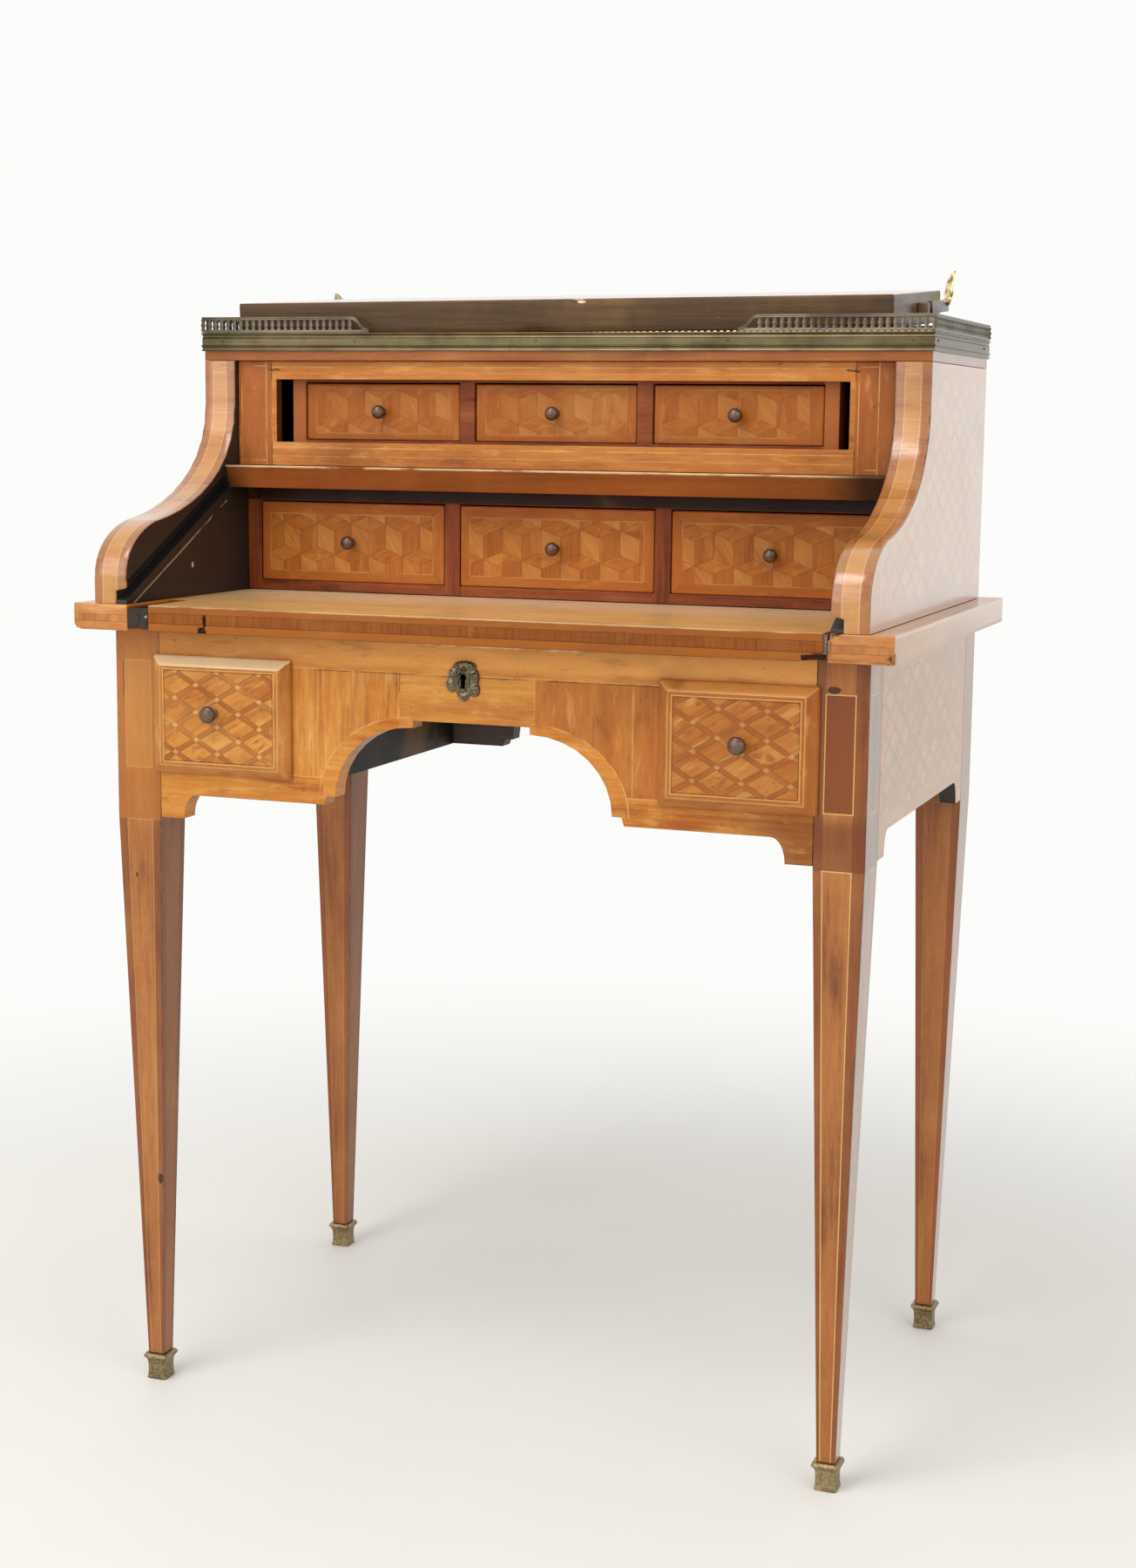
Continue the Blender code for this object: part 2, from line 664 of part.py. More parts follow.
def build_nests():
    """The two nests that hold the small drawers: floor, posts, dividers and top rail."""
    lower = [rectangle(-lower_nest_half, lower_nest_half, lower_floor_bottom, shelf_bottom - CLEAR)]
    lower += [rectangle(*cell, lower_cell_bottom, lower_cell_top) for cell in LOWER_CELLS]
    outline("lower_drawer_nest", lower, "XZ", lower_nest_front, nest_back, ROSEWOOD)
    top = upper_cell_top + UPPER_RAIL_THICK
    upper = [rectangle(-upper_nest_half, upper_nest_half, upper_floor_bottom, top)]
    upper += [rectangle(*cell, upper_cell_bottom, upper_cell_top) for cell in UPPER_CELLS]
    outline("upper_drawer_nest", upper, "XZ", upper_nest_front, nest_back, ROSEWOOD)


def knob(name, diameter, length, face, parent):
    """A turned mushroom knob on a short stem. Its axis points to the front."""
    radius = diameter / 2
    stem = 0.36 * radius
    neck = 0.42 * length
    profile = [
        (0, length),
        (0.55 * radius, 0.96 * length),
        (0.88 * radius, 0.84 * length),
        (radius, 0.70 * length),
        (0.90 * radius, 0.56 * length),
        (stem, neck),
        (stem, 0.12 * length),
        (0.6 * radius, CLEAR),
        (0, CLEAR),
    ]
    turned(name, profile, 12, IRON, face - parent.location, (math.radians(90), 0, 0), parent)


def hollow(drawer, low, high):
    """Take the inside out of a drawer box that lies between two corners."""
    inner_low = (low[0] + DRAWER_WALL, low[1] + DRAWER_FRONT_THICK, low[2] + DRAWER_BOTTOM_THICK)
    inner_high = (high[0] - DRAWER_WALL, high[1] - DRAWER_WALL, high[2] + DRAWER_BOTTOM_THICK)
    cut(drawer, inner_low, inner_high)


def inner_drawer(name, cell, front, bottom, height):
    """A small drawer that fills its cell, with its knob."""
    low = Vector((cell[0] + RUN, front, bottom))
    high = Vector((cell[1] - RUN, nest_back - DRAWER_BACK_GAP, bottom + height))
    home = add(f"{name}_axis", None, None, ((low.x + high.x) / 2, front, (low.z + high.z) / 2))
    drawer = box(name, low, high, SATINWOOD, DRAWER_EDGE_BEVEL, home)
    hollow(drawer, low, high)
    knob(f"{name}_knob", INNER_KNOB_DIAMETER, INNER_KNOB_LENGTH, home.location, home)


def moulded_front(name, left, right, parent):
    """An apron drawer's front, proud of the apron, with its edges bevelled back."""
    low = Vector((left, carcass_front - APRON_FRONT_EDGE, front_bottom))
    high = Vector((right, carcass_front - CLEAR, front_top))
    centre, size = middle_and_size(low, high)
    mesh = cube_mesh(name, size)
    shape = bmesh.new()
    shape.from_mesh(mesh)
    shape.faces.ensure_lookup_table()
    face = min(shape.faces, key=lambda each: each.calc_center_median().y)
    grown = bmesh.ops.extrude_face_region(shape, geom=[face])["geom"]
    verts = [each for each in grown if isinstance(each, bmesh.types.BMVert)]
    bmesh.ops.translate(shape, vec=(0, APRON_FRONT_EDGE - APRON_FRONT_PROUD, 0), verts=verts)
    shrink = (1 - 2 * APRON_FRONT_BEVEL / size.x, 1, 1 - 2 * APRON_FRONT_BEVEL / size.z)
    bmesh.ops.scale(shape, vec=shrink, verts=verts)
    bmesh.ops.delete(shape, geom=[face], context="FACES_ONLY")
    bmesh.ops.recalc_face_normals(shape, faces=shape.faces)
    shape.to_mesh(mesh)
    shape.free()
    return add(name, mesh, SATINWOOD, centre - parent.location, parent=parent)


def apron_drawer(name, side):
    """An apron drawer: a box through the apron behind a moulded front, and its knob."""
    face = Vector((side * (front_inner + front_outer) / 2, carcass_front - APRON_FRONT_PROUD, 0))
    face.z = (front_bottom + front_top) / 2
    home = add(f"{name}_axis", None, None, face)
    across = sorted((side * box_inner, side * box_outer))
    low = Vector((across[0], carcass_front - APRON_FRONT_EDGE / 2, box_bottom))
    high = Vector((across[1], carcass_back - APRON_THICK - CLEAR - DRAWER_BACK_GAP, box_top))
    drawer = box(name, low, high, SATINWOOD, parent=home)
    hollow(drawer, low, high)
    edges = sorted((side * front_inner, side * front_outer))
    unite(drawer, moulded_front(f"{name}_front", *edges, home))
    seat = face + Vector((side * APRON_KNOB_OUT, 0, APRON_KNOB_LIFT))
    knob(f"{name}_knob", APRON_KNOB_DIAMETER, APRON_KNOB_LENGTH, seat, home)


def build_drawers():
    """Three drawers in each nest and two in the apron."""
    words = ("left", "middle", "right")
    for word, cell in zip(words, UPPER_CELLS):
        front = upper_nest_front + UPPER_DRAWER_SETBACK
        inner_drawer(f"upper_{word}_drawer", cell, front, upper_cell_bottom + CLEAR, UPPER_DRAWER_HEIGHT)
    for word, cell in zip(words, LOWER_CELLS):
        inner_drawer(
            f"lower_{word}_drawer", cell, lower_nest_front, lower_cell_bottom + CLEAR, LOWER_DRAWER_HEIGHT
        )
    apron_drawer("apron_left_drawer", -1)
    apron_drawer("apron_right_drawer", 1)


def build_lock():
    """Lock behind the front apron, its bolt that rises into the slide, and the escutcheon."""
    half = Vector((LOCK_WIDTH / 2, LOCK_DEPTH / 2, LOCK_HEIGHT / 2))
    centre = Vector((LOCK_OFFSET_X, lock_y, lock_top - LOCK_HEIGHT / 2))
    case = box("lock_case", centre - half, centre + half, IRON)
    bolt_half = Vector((BOLT_WIDTH / 2, BOLT_THICK / 2, BOLT_LENGTH / 2))
    bolt_centre = Vector((LOCK_OFFSET_X, lock_y, lock_top - BOLT_LENGTH / 2))
    home = add("bolt_axis", None, None, bolt_centre)
    box("lock_bolt", bolt_centre - bolt_half, bolt_centre + bolt_half, BRONZE, parent=home)
    play = Vector((CLEAR, CLEAR, CLEAR))
    lift = Vector((0, 0, BOLT_LENGTH / 2))
    cut(case, bolt_centre - bolt_half - play, bolt_centre + bolt_half + play + lift)
    petals = 10
    steps = 4 * petals
    loop = []
    for i in range(steps):
        angle = 2 * math.pi * i / steps
        lobe = ESCUTCHEON_LOBE * math.cos(petals * angle)
        across = LOCK_OFFSET_X + (ESCUTCHEON_HALF_WIDTH + lobe) * math.cos(angle)
        loop.append((across, keyhole_z + (ESCUTCHEON_HALF_HEIGHT + lobe) * math.sin(angle)))
    back = carcass_front - CLEAR
    loops = [loop, keyhole(LOCK_OFFSET_X, keyhole_z)]
    outline("escutcheon", loops, "XZ", back - ESCUTCHEON_THICK, back, BRONZE)


def gallery_strip(length, swoop_left, swoop_right):
    """Outline and slots of one gallery strip that starts at 0, with a swooping free end if asked."""
    top = gallery_top
    slot_bottom = gallery_bottom + GALLERY_BOTTOM_RAIL
    slot_top = top - GALLERY_TOP_RAIL
    low_end = gallery_bottom + GALLERY_BOTTOM_RAIL
    loop = [(0, gallery_bottom), (length, gallery_bottom)]
    reach = GALLERY_SWOOP / 2
    if swoop_right:
        start = (length, low_end)
        end = (length - GALLERY_SWOOP, top)
        loop.append(start)
        loop += bezier(start, (start[0] - reach, low_end), (end[0] + reach, top), end, 6)
    else:
        loop.append((length, top))
    if swoop_left:
        start = (GALLERY_SWOOP, top)
        end = (0, low_end)
        loop.append(start)
        loop += bezier(start, (start[0] - reach, top), (end[0] + reach, low_end), end, 6)
    else:
        loop.append((0, top))
    first = GALLERY_SWOOP + GALLERY_SLOT_WIDTH if swoop_left else GALLERY_SLOT_WIDTH
    last = length - (GALLERY_SWOOP if swoop_right else 0) - GALLERY_SLOT_WIDTH
    count = int((last - first - GALLERY_SLOT_WIDTH) / GALLERY_PITCH) + 1
    spare = (last - first - GALLERY_SLOT_WIDTH - (count - 1) * GALLERY_PITCH) / 2
    slots = []
    for i in range(count):
        left = first + spare + i * GALLERY_PITCH
        slots.append(rectangle(left, left + GALLERY_SLOT_WIDTH, slot_bottom, slot_top))
    return [loop, *slots]


def shifted(loops, offset):
    """Loops moved along their first axis."""
    return [[(across + offset, up) for across, up in loop] for loop in loops]


def build_brass():
    """Brass band round the top board's edge, and the pierced gallery that stands on it."""
    inside_x = upper_half + CLEAR
    outside_x = inside_x + BAND_THICK
    inside = rectangle(-inside_x, inside_x, upper_front - CLEAR, upper_back + CLEAR)
    front = upper_front - CLEAR - BAND_THICK
    back = upper_back + CLEAR + BAND_THICK
    outside = rectangle(-outside_x, outside_x, front, back)
    outline("brass_band", [outside, inside], "XY", band_top - BAND_HEIGHT, band_top, BRONZE)
    inset = (BAND_THICK - GALLERY_THICK) / 2
    reach = outside_x - inset
    front_low = front + inset
    front_high = front_low + GALLERY_THICK
    back_high = back - inset
    back_low = back_high - GALLERY_THICK
    run = reach - GALLERY_GAP_HALF
    left = shifted(gallery_strip(run, False, True), -reach)
    outline("gallery_front_left", left, "XZ", front_low, front_high, BRONZE)
    right = shifted(gallery_strip(run, True, False), GALLERY_GAP_HALF)
    outline("gallery_front_right", right, "XZ", front_low, front_high, BRONZE)
    rear = shifted(gallery_strip(2 * reach, False, False), -reach)
    outline("gallery_back", rear, "XZ", back_low, back_high, BRONZE)
    side_start = front_high + CLEAR
    flank = shifted(gallery_strip(back_low - CLEAR - side_start, False, False), side_start)
    outline("gallery_left", flank, "YZ", -reach, -reach + GALLERY_THICK, BRONZE)
    outline("gallery_right", flank, "YZ", reach - GALLERY_THICK, reach, BRONZE)


def build_lid():
    """The slant front, lying on the top board and leaning back on the gallery."""
    width = 2 * (inner_half - LID_SIDE_GAP)
    length = groove_length + LID_END_LAP
    # On a deeper desk the lid moves back, so that it still reaches the rail that it leans on.
    front = max(upper_front + LID_FRONT_SETBACK, upper_back - LID_BACK_GAP - length)
    left_front = (LID_OFFSET_X - width / 2, front, top_surface + CLEAR)
    pitch = math.atan2(gallery_top - top_surface, upper_back - front)
    turn = Euler((pitch, -math.radians(LID_ROLL_DEG), math.radians(LID_YAW_DEG)))
    home = add("lid_axis", None, None, left_front, turn)
    middle = Vector((width / 2, length / 2, LID_THICK / 2))
    lid = add("lid", cube_mesh("lid", (width, length, LID_THICK)), SATINWOOD, middle, parent=home)
    soften = lid.modifiers.new("edges", "BEVEL")
    soften.width = LID_EDGE_BEVEL
    soften.segments = 1
    for side, word in ((-1, "left"), (1, "right")):
        face = width / 2 + side * (width / 2 + CLEAR)
        radius = PEG_DIAMETER / 2
        turned(
            f"lid_{word}_peg",
            [(0, PEG_LENGTH), (radius, PEG_LENGTH), (radius, 0), (0, 0)],
            16,
            SATINWOOD,
            (face, length / 2, LID_THICK / 2),
            (0, side * math.radians(90), 0),
            home,
        )
        strap_bottom = (LID_THICK - STRAP_HEIGHT) / 2
        strap_top = strap_bottom + STRAP_HEIGHT
        leaf_top = LID_THICK + LEAF_HEIGHT
        start = length - STRAP_LAP
        end = length + STRAP_REACH
        tip = end + LEAF_LEAN
        loop = [
            (start, strap_bottom),
            (end, strap_bottom),
            (end, LID_THICK),
            (tip + LEAF_WIDTH / 4, LID_THICK + LEAF_HEIGHT / 2),
            (tip, leaf_top),
            (end - LEAF_WIDTH, LID_THICK + LEAF_HEIGHT / 2),
            (end - LEAF_WIDTH, strap_top),
            (start, strap_top),
        ]
        walls = sorted((face, face + side * STRAP_THICK))
        outline(f"lid_{word}_bracket", [loop], "YZ", *walls, BRONZE, home)


clear_scene()
build_aprons()
build_side_panels()
build_pockets()
build_legs()
build_base()
build_slide()
build_scroll_sides()
build_upper_case()
build_nests()
build_drawers()
build_lock()
build_brass()
build_lid()
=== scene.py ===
"""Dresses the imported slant-front desk: veneers with strings and parquetry, cast brass, and wear.

Metres, +Z up, +X to the sitter's right, -Y to the front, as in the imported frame.
"""

import json
import math

import bmesh
import bpy
import numpy as np
from mathutils import Euler, Matrix, Vector

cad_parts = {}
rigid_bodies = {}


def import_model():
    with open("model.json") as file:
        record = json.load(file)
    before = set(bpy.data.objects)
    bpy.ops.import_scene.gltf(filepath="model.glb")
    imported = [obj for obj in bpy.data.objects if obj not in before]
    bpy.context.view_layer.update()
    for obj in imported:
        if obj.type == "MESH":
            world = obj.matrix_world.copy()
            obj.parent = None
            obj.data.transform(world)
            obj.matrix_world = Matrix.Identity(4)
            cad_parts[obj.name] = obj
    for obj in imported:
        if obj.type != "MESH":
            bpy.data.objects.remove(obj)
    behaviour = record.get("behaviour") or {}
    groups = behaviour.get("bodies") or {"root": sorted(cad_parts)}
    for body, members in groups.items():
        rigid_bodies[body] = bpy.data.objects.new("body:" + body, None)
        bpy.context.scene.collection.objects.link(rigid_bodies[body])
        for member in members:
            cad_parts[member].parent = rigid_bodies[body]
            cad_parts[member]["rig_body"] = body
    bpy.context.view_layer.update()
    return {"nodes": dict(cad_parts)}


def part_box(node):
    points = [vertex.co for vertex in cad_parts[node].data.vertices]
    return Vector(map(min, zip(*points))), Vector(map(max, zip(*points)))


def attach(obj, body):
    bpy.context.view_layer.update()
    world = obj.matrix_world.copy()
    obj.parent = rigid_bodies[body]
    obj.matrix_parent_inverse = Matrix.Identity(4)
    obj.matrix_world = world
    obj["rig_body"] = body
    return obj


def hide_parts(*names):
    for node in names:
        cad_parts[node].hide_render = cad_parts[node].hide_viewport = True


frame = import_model()
nodes = frame["nodes"]


# Shader kit


def seen(red, green, blue):
    """A colour as the eye sees it, 0 to 255, as the linear light that shaders mix."""
    share = np.array((red, green, blue)) / 255
    light = np.where(share <= 0.04045, share / 12.92, ((share + 0.055) / 1.055) ** 2.4)
    return (*light.tolist(), 1.0)


class Wire:
    """One number in a finish. Signs on it add Math nodes; & and | are for masks of 0 and 1."""

    def __init__(self, finish, socket):
        self.finish = finish
        self.socket = socket

    def __abs__(self):
        return self.finish.math("ABSOLUTE", self)

    def __invert__(self):
        return self.finish.math("SUBTRACT", 1.0, self)


def give_sign(sign, operation, last=False):
    """Let wires take a sign: one Math node, with the wire as its first number or its last."""

    def node(wire, other):
        return wire.finish.math(operation, *((other, wire) if last else (wire, other)))

    setattr(Wire, f"__{sign}__", node)


for sign, operation in {"add": "ADD", "sub": "SUBTRACT", "mul": "MULTIPLY", "truediv": "DIVIDE"}.items():
    give_sign(sign, operation)
    give_sign(f"r{sign}", operation, last=True)
give_sign("mod", "FLOORED_MODULO")
give_sign("gt", "GREATER_THAN")
give_sign("lt", "LESS_THAN")
give_sign("and", "MULTIPLY")
give_sign("or", "MAXIMUM")


class Finish:
    """A material's node tree: object coordinates and normals come in, a Principled shader goes out.

    It keeps the colour laid so far and the wood's pores.
    """

    def __init__(self, name):
        self.material = bpy.data.materials.new(name)
        self.material.use_nodes = True
        self.tree = self.material.node_tree
        self.tree.nodes.clear()
        self.shader = self.tree.nodes.new("ShaderNodeBsdfPrincipled")
        end = self.tree.nodes.new("ShaderNodeOutputMaterial")
        self.tree.links.new(self.shader.outputs["BSDF"], end.inputs["Surface"])
        where = self.tree.nodes.new("ShaderNodeTexCoord")
        self.x, self.y, self.z = self.split(where.outputs["Object"])
        self.uv = where.outputs["UV"]
        facing = self.tree.nodes.new("ShaderNodeNewGeometry")
        self.nx, self.ny, self.nz = self.split(facing.outputs["Normal"])
        self.colour = None
        self.pore = None

    def split(self, socket):
        """The three numbers of a vector."""
        node = self.tree.nodes.new("ShaderNodeSeparateXYZ")
        self.tree.links.new(socket, node.inputs[0])
        return [Wire(self, each) for each in node.outputs]

    def feed(self, socket, value):
        """Link a wire to a socket, or set a constant on it."""
        if isinstance(value, Wire):
            self.tree.links.new(value.socket, socket)
        else:
            socket.default_value = value

    def math(self, operation, *values):
        """One Math node."""
        node = self.tree.nodes.new("ShaderNodeMath")
        node.operation = operation
        for socket, value in zip(node.inputs, values):
            self.feed(socket, value)
        return Wire(self, node.outputs[0])

    def mix(self, kind, sockets, mask, under, over):
        """One Mix node of a kind, with the places of its two values and its result."""
        node = self.tree.nodes.new("ShaderNodeMix")
        node.data_type = kind
        self.feed(node.inputs[0], mask)
        self.feed(node.inputs[sockets[0]], under)
        self.feed(node.inputs[sockets[1]], over)
        return Wire(self, node.outputs[sockets[2]])

    def pick(self, mask, yes, no):
        """One number where the mask is 1 and another where it is 0."""
        return self.mix("FLOAT", (2, 3, 0), mask, no, yes)

    def blend(self, mask, under, over):
        """A colour laid over another where the mask is 1."""
        return self.mix("RGBA", (6, 7, 2), mask, under, over)

    def lay(self, mask, tone):
        """A tone laid over the colour so far, where the mask is 1."""
        self.colour = self.blend(mask, self.colour, tone)

    def ramp(self, value, low, high):
        """0 below one value, 1 above another, smooth between."""
        node = self.tree.nodes.new("ShaderNodeMapRange")
        node.interpolation_type = "SMOOTHSTEP"
        self.feed(node.inputs["Value"], value)
        node.inputs["From Min"].default_value = low
        node.inputs["From Max"].default_value = high
        return Wire(self, node.outputs["Result"])

    def at_point(self, kind, x, y, z):
        """A texture node of a kind, read at a point."""
        point = self.tree.nodes.new("ShaderNodeCombineXYZ")
        for socket, value in zip(point.inputs, (x, y, z)):
            self.feed(socket, value)
        node = self.tree.nodes.new(kind)
        self.tree.links.new(point.outputs[0], node.inputs["Vector"])
        return node

    def noise(self, x, y, z, detail=2.0, rough=0.5):
        """Soft noise with a mean of one half and lumps about one unit wide."""
        node = self.at_point("ShaderNodeTexNoise", x, y, z)
        node.inputs["Scale"].default_value = 1.0
        node.inputs["Detail"].default_value = detail
        node.inputs["Roughness"].default_value = rough
        return Wire(self, node.outputs["Fac"])

    def lumps(self, scale, detail=2.0, rough=0.5):
        """Even noise in space, scale lumps to the metre."""
        return self.noise(self.x * scale, self.y * scale, self.z * scale, detail, rough)

    def patches(self, low, high, scale, detail=2.0):
        """1 in soft patches, where even noise is above one level, and 0 where it is below another."""
        return self.ramp(self.lumps(scale, detail), low, high)

    def uneven(self, value, scale, amount=1.0):
        """A number that wanders a little, so that an edge drawn by it is ragged."""
        return value + (self.lumps(scale) - 0.5) * amount

    def chance(self, x, y, z=0.0):
        """One random number, 0 to 1, for each point."""
        return Wire(self, self.at_point("ShaderNodeTexWhiteNoise", x, y, z).outputs["Value"])

    def floor(self, value):
        """The whole number below."""
        return self.math("FLOOR", value)

    def within(self, value, low, high):
        """1 between two values."""
        return (value > low) & (value < high)

    def near(self, value, place, half):
        """1 on a line of a given half width, with edges softened a little."""
        return ~self.ramp(abs(value - place), half * LINE_EDGE[0], half * LINE_EDGE[1])

    def strings(self, value, places, shares=None):
        """Inlaid lines at several places, each with its share of strength."""
        found = None
        for place, share in zip(places, shares or [None] * len(places)):
            line = self.near(value, place, STRING_HALF)
            line = line if share is None else line * share
            found = line if found is None else found | line
        return found

    def oval(self, across, up, middle, half):
        """Squared distance from the middle of an ellipse, 1 on its edge."""
        run = (across - middle[0]) / half[0]
        rise = (up - middle[1]) / half[1]
        return run * run + rise * rise

    def outward(self):
        """How far a face looks away from the desk's middle, to the left or to the right."""
        return self.nx * self.math("SIGN", self.x)

    def done(self, rough, height=None, depth=0.0002, metal=0.0, coat=0.0, gloss=0.5):
        """Wire the shader: colour, roughness, coat, a bump of a depth in metres, and constant metal."""
        self.feed(self.shader.inputs["Base Color"], self.colour)
        self.feed(self.shader.inputs["Roughness"], rough)
        self.shader.inputs["Metallic"].default_value = metal
        self.feed(self.shader.inputs["Coat Weight"], coat)
        self.shader.inputs["Coat Roughness"].default_value = COAT_ROUGH
        self.shader.inputs["Specular IOR Level"].default_value = gloss
        if height is not None:
            bump = self.tree.nodes.new("ShaderNodeBump")
            bump.inputs["Strength"].default_value = 1.0
            bump.inputs["Distance"].default_value = depth
            self.feed(bump.inputs["Height"], height)
            self.tree.links.new(bump.outputs["Normal"], self.shader.inputs["Normal"])
        return self.material


# Varnish and lines
COAT_ROUGH = 0.16
VARNISH = 0.08
FRONT_GLOSS = 0.20
PORE_DEPTH = 0.00025
CAST_DEPTH = 0.00008
STRING_HALF = 0.0005
CRACK_HALF = 0.0004
JOINT_HALF = 0.00035
LINE_EDGE = (0.75, 1.35)

# Woods: dark, middle and light tone
SATIN = (seen(164, 86, 30), seen(198, 126, 50), seen(222, 158, 78))
HONEY = (seen(176, 112, 46), seen(210, 150, 74), seen(230, 180, 106))
PLUM = (seen(110, 52, 22), seen(148, 80, 36), seen(178, 104, 50))
ROSE = (seen(92, 40, 18), seen(132, 65, 31), seen(160, 87, 45))
RUDDY = (seen(120, 66, 33), seen(168, 104, 51), seen(192, 128, 69))
STAIN = (seen(15, 10, 8), seen(27, 18, 14), seen(44, 31, 24))
SMOKED = (seen(56, 47, 42), seen(82, 71, 64), seen(106, 93, 84))
DRAB = (seen(48, 36, 25), seen(84, 66, 46), seen(122, 100, 72))

# Lines, wear, painted light and shade, and single tones
BOX_STRING = seen(228, 184, 112)
DARK_LINE = seen(70, 34, 18)
GRIME_AND_SHADE = seen(34, 20, 13)
HOLE_SHADOW = seen(14, 10, 8)
RAW_WOOD = seen(240, 218, 178)
PALE_SHEEN = seen(240, 210, 166)
SUNLIT = seen(232, 162, 84)
PALE_BACK_LIGHT = seen(250, 222, 186)
EMBER = seen(156, 78, 25)
UMBER = seen(46, 20, 11)
REFLECTED_GREY = seen(196, 192, 187)
INNER_BROWN = seen(128, 80, 50)
POST_PANEL = seen(130, 68, 28)
EDGE_BROWN = seen(130, 64, 10)
SHADE_BROWN = seen(24, 8, 4)
RUBBED_LIT_STAIN = seen(176, 160, 132)
LID_END = (seen(68, 63, 57), seen(98, 93, 86))
LID_EDGE = (seen(52, 39, 23), seen(73, 56, 34))
LID_SPECK = seen(128, 104, 66)

# Metals
PIT_BROWN = seen(58, 46, 28)
VERDIGRIS = seen(96, 98, 62)
BRASS_SOOT = seen(48, 40, 27)
GILT = (seen(142, 116, 70), seen(228, 210, 160))
GILT_HOLLOW = seen(88, 66, 40)
GILT_DULL = seen(96, 88, 72)
STRAP_IRON = (seen(74, 68, 62), seen(132, 126, 118))
RUBBED_LIT_BRONZE = seen(132, 112, 98)
BRONZE_HOLLOW = seen(46, 34, 27)

# Apron: strings, panels, arch and keyhole
APRON_Y = -0.2112
TOP_STRING_Z, LOW_STRING_Z = 0.693, 0.5958
PANEL_LINES = (-0.1555, -0.068, 0.059, 0.148)
PANEL_LINE_SHARES = (0.6, 1.0, 0.7, 1.0)
PANEL_CRACK_Z = 0.676
ARCH_X, ARCH_Z, ARCH_END_X = 0.0565, 0.5789, 0.142
ARCH_BORDER = (0.0886, 0.075)
KEYHOLE = (-0.0065, 0.6888)
KEYHOLE_SHADE = (0.0085, 0.0085)

# Parquetry: half pitches of the lozenges, half width of their bands, the studs, and the cubes' faces
TRELLIS_COLUMN, TRELLIS_ROW = 0.0212, 0.0123
TRELLIS_BAND, TRELLIS_JOINT = 0.105, 0.014
TRELLIS_STUD = (0.0031, 0.0024)
CUBE_RISE, CUBE_EDGE = 0.0074, 0.0229
CUBE_ROW = CUBE_RISE + CUBE_EDGE

# Legs: axes, half widths, heights of the strings, and the dark knots
LEG_X = 0.32845
LEG_FRONT_Y, LEG_BACK_Y = -0.18895, 0.21255
LEG_HALF, ANKLE_HALF = 0.02225, 0.0085
LEG_TOP_Z, ANKLE_Z = 0.5494, 0.0258
LEG_STRING_Z = 0.5459
POST_STRINGS_Z = (0.5943, 0.6926)
KNOTS = {
    "front_left": ((-0.3182, 0.202, 0.0030, 0.0055), (-0.3335, 0.4935, 0.0012, 0.0026)),
    "front_right": ((0.3208, 0.6965, 0.0062, 0.0034),),
}

# Sides: the open joint under the base, the scroll's sweep, and the groove
OPEN_JOINT_Z = 0.7165
SWEEP_TOP_Z = 0.925
SWEEP_TALL, SWEEP_DEEP = 0.1075, 0.1503
SWEEP_FRONT_Y = -0.203
GROOVE_FOOT = (-0.2336, 0.7505)
GROOVE_WAY = (0.8951, 0.4457)
GROOVE_CHIP, GROOVE_CHIP_HALF = (-0.118, 0.7745), (0.0022, 0.0030)
SCROLL_STRING_END = 0.335

# Base boards and slide: bands of their edges, lost chips, the notch and the lost strip
BASE_BAND = (0.7293, 0.7356)
BASE_CHIPS = ((0.3245, -0.2404, 0.7436, 0.0048), (0.3728, -0.2404, 0.7262, 0.0052))
EDGE_BAND = (0.7293, 0.7385)
NOTCH = (-0.2478, 0.7306)
LOST_STRIP = (0.2995, 0.7272)

# Frame before the upper drawers, shelf, and drawer nests
FRAME_FACE_Y = -0.0247
STILE_X = 0.2865
FRAME_STRINGS_Z = (0.9595, 0.954, 0.8837, 0.8756)
FRAME_STRING_SHARES = (None, 0.5, None, 0.7)
STILE_STRINGS_X = (-0.3186, -0.2923, 0.2895, 0.3074)
STILE_STRINGS_Z = (0.8712, 0.9608)
FRAME_MIDDLE_Z = 0.9185
SHELF_RIM_Z = (0.8642, 0.8654)
SHELF_FRONT_Y = -0.047
NEST_POSTS_X = (0.0960, 0.1135)
NEST_END_X = 0.3072
UPPER_END_POSTS_X = (0.2550, 0.2820)
UPPER_NEST_Z = 0.87

# Lid: border of its face, the chip, the shade round the pegs, and where the leaves leave their straps
LID_FACE = (-0.285, 0.283, 0.012, 0.172)
LID_CHIP, LID_CHIP_HALF = (0.0265, 1.0192), (0.0045, 0.0013)
LID_PEG, LID_PEG_SHADE = (0.0745, 1.0115), (0.0075, 0.0075)
STRAP_TOP_Z = 1.0275


# Finishes


def timber(f, along, across, depth, tones, stripe=1.0):
    """Wood: slow, streaky and fine noises drawn out along the fibres and mixed between three tones.

    A ripple of light figure runs across them, and pores lie over it.
    """
    dark, middle, light = tones
    side = across + (f.noise(along * 8.0, across * 8.0, depth * 8.0) - 0.5) * 0.006
    slow = f.noise(along * 6.0, side * (46.0 * stripe), depth * 46.0)
    streak = f.noise(along * 15.0, side * (290.0 * stripe), depth * 290.0, 3.0)
    fibre = f.noise(along * 80.0, side * 1500.0, depth * 1500.0, 1.0)
    tone = slow * 0.52 + streak * 0.33 + fibre * 0.15
    f.colour = f.blend(f.ramp(tone, 0.33, 0.51), dark, middle)
    f.lay(f.ramp(tone, 0.49, 0.70), light)
    figure = f.ramp(f.noise(along * 75.0, side * 24.0, depth * 24.0), 0.46, 0.72)
    f.lay(figure * 0.16, light)
    f.pore = f.ramp(f.noise(along * 60.0, side * 800.0, depth * 800.0, 1.0), 0.60, 0.74)
    f.lay(f.pore * 0.32, dark)


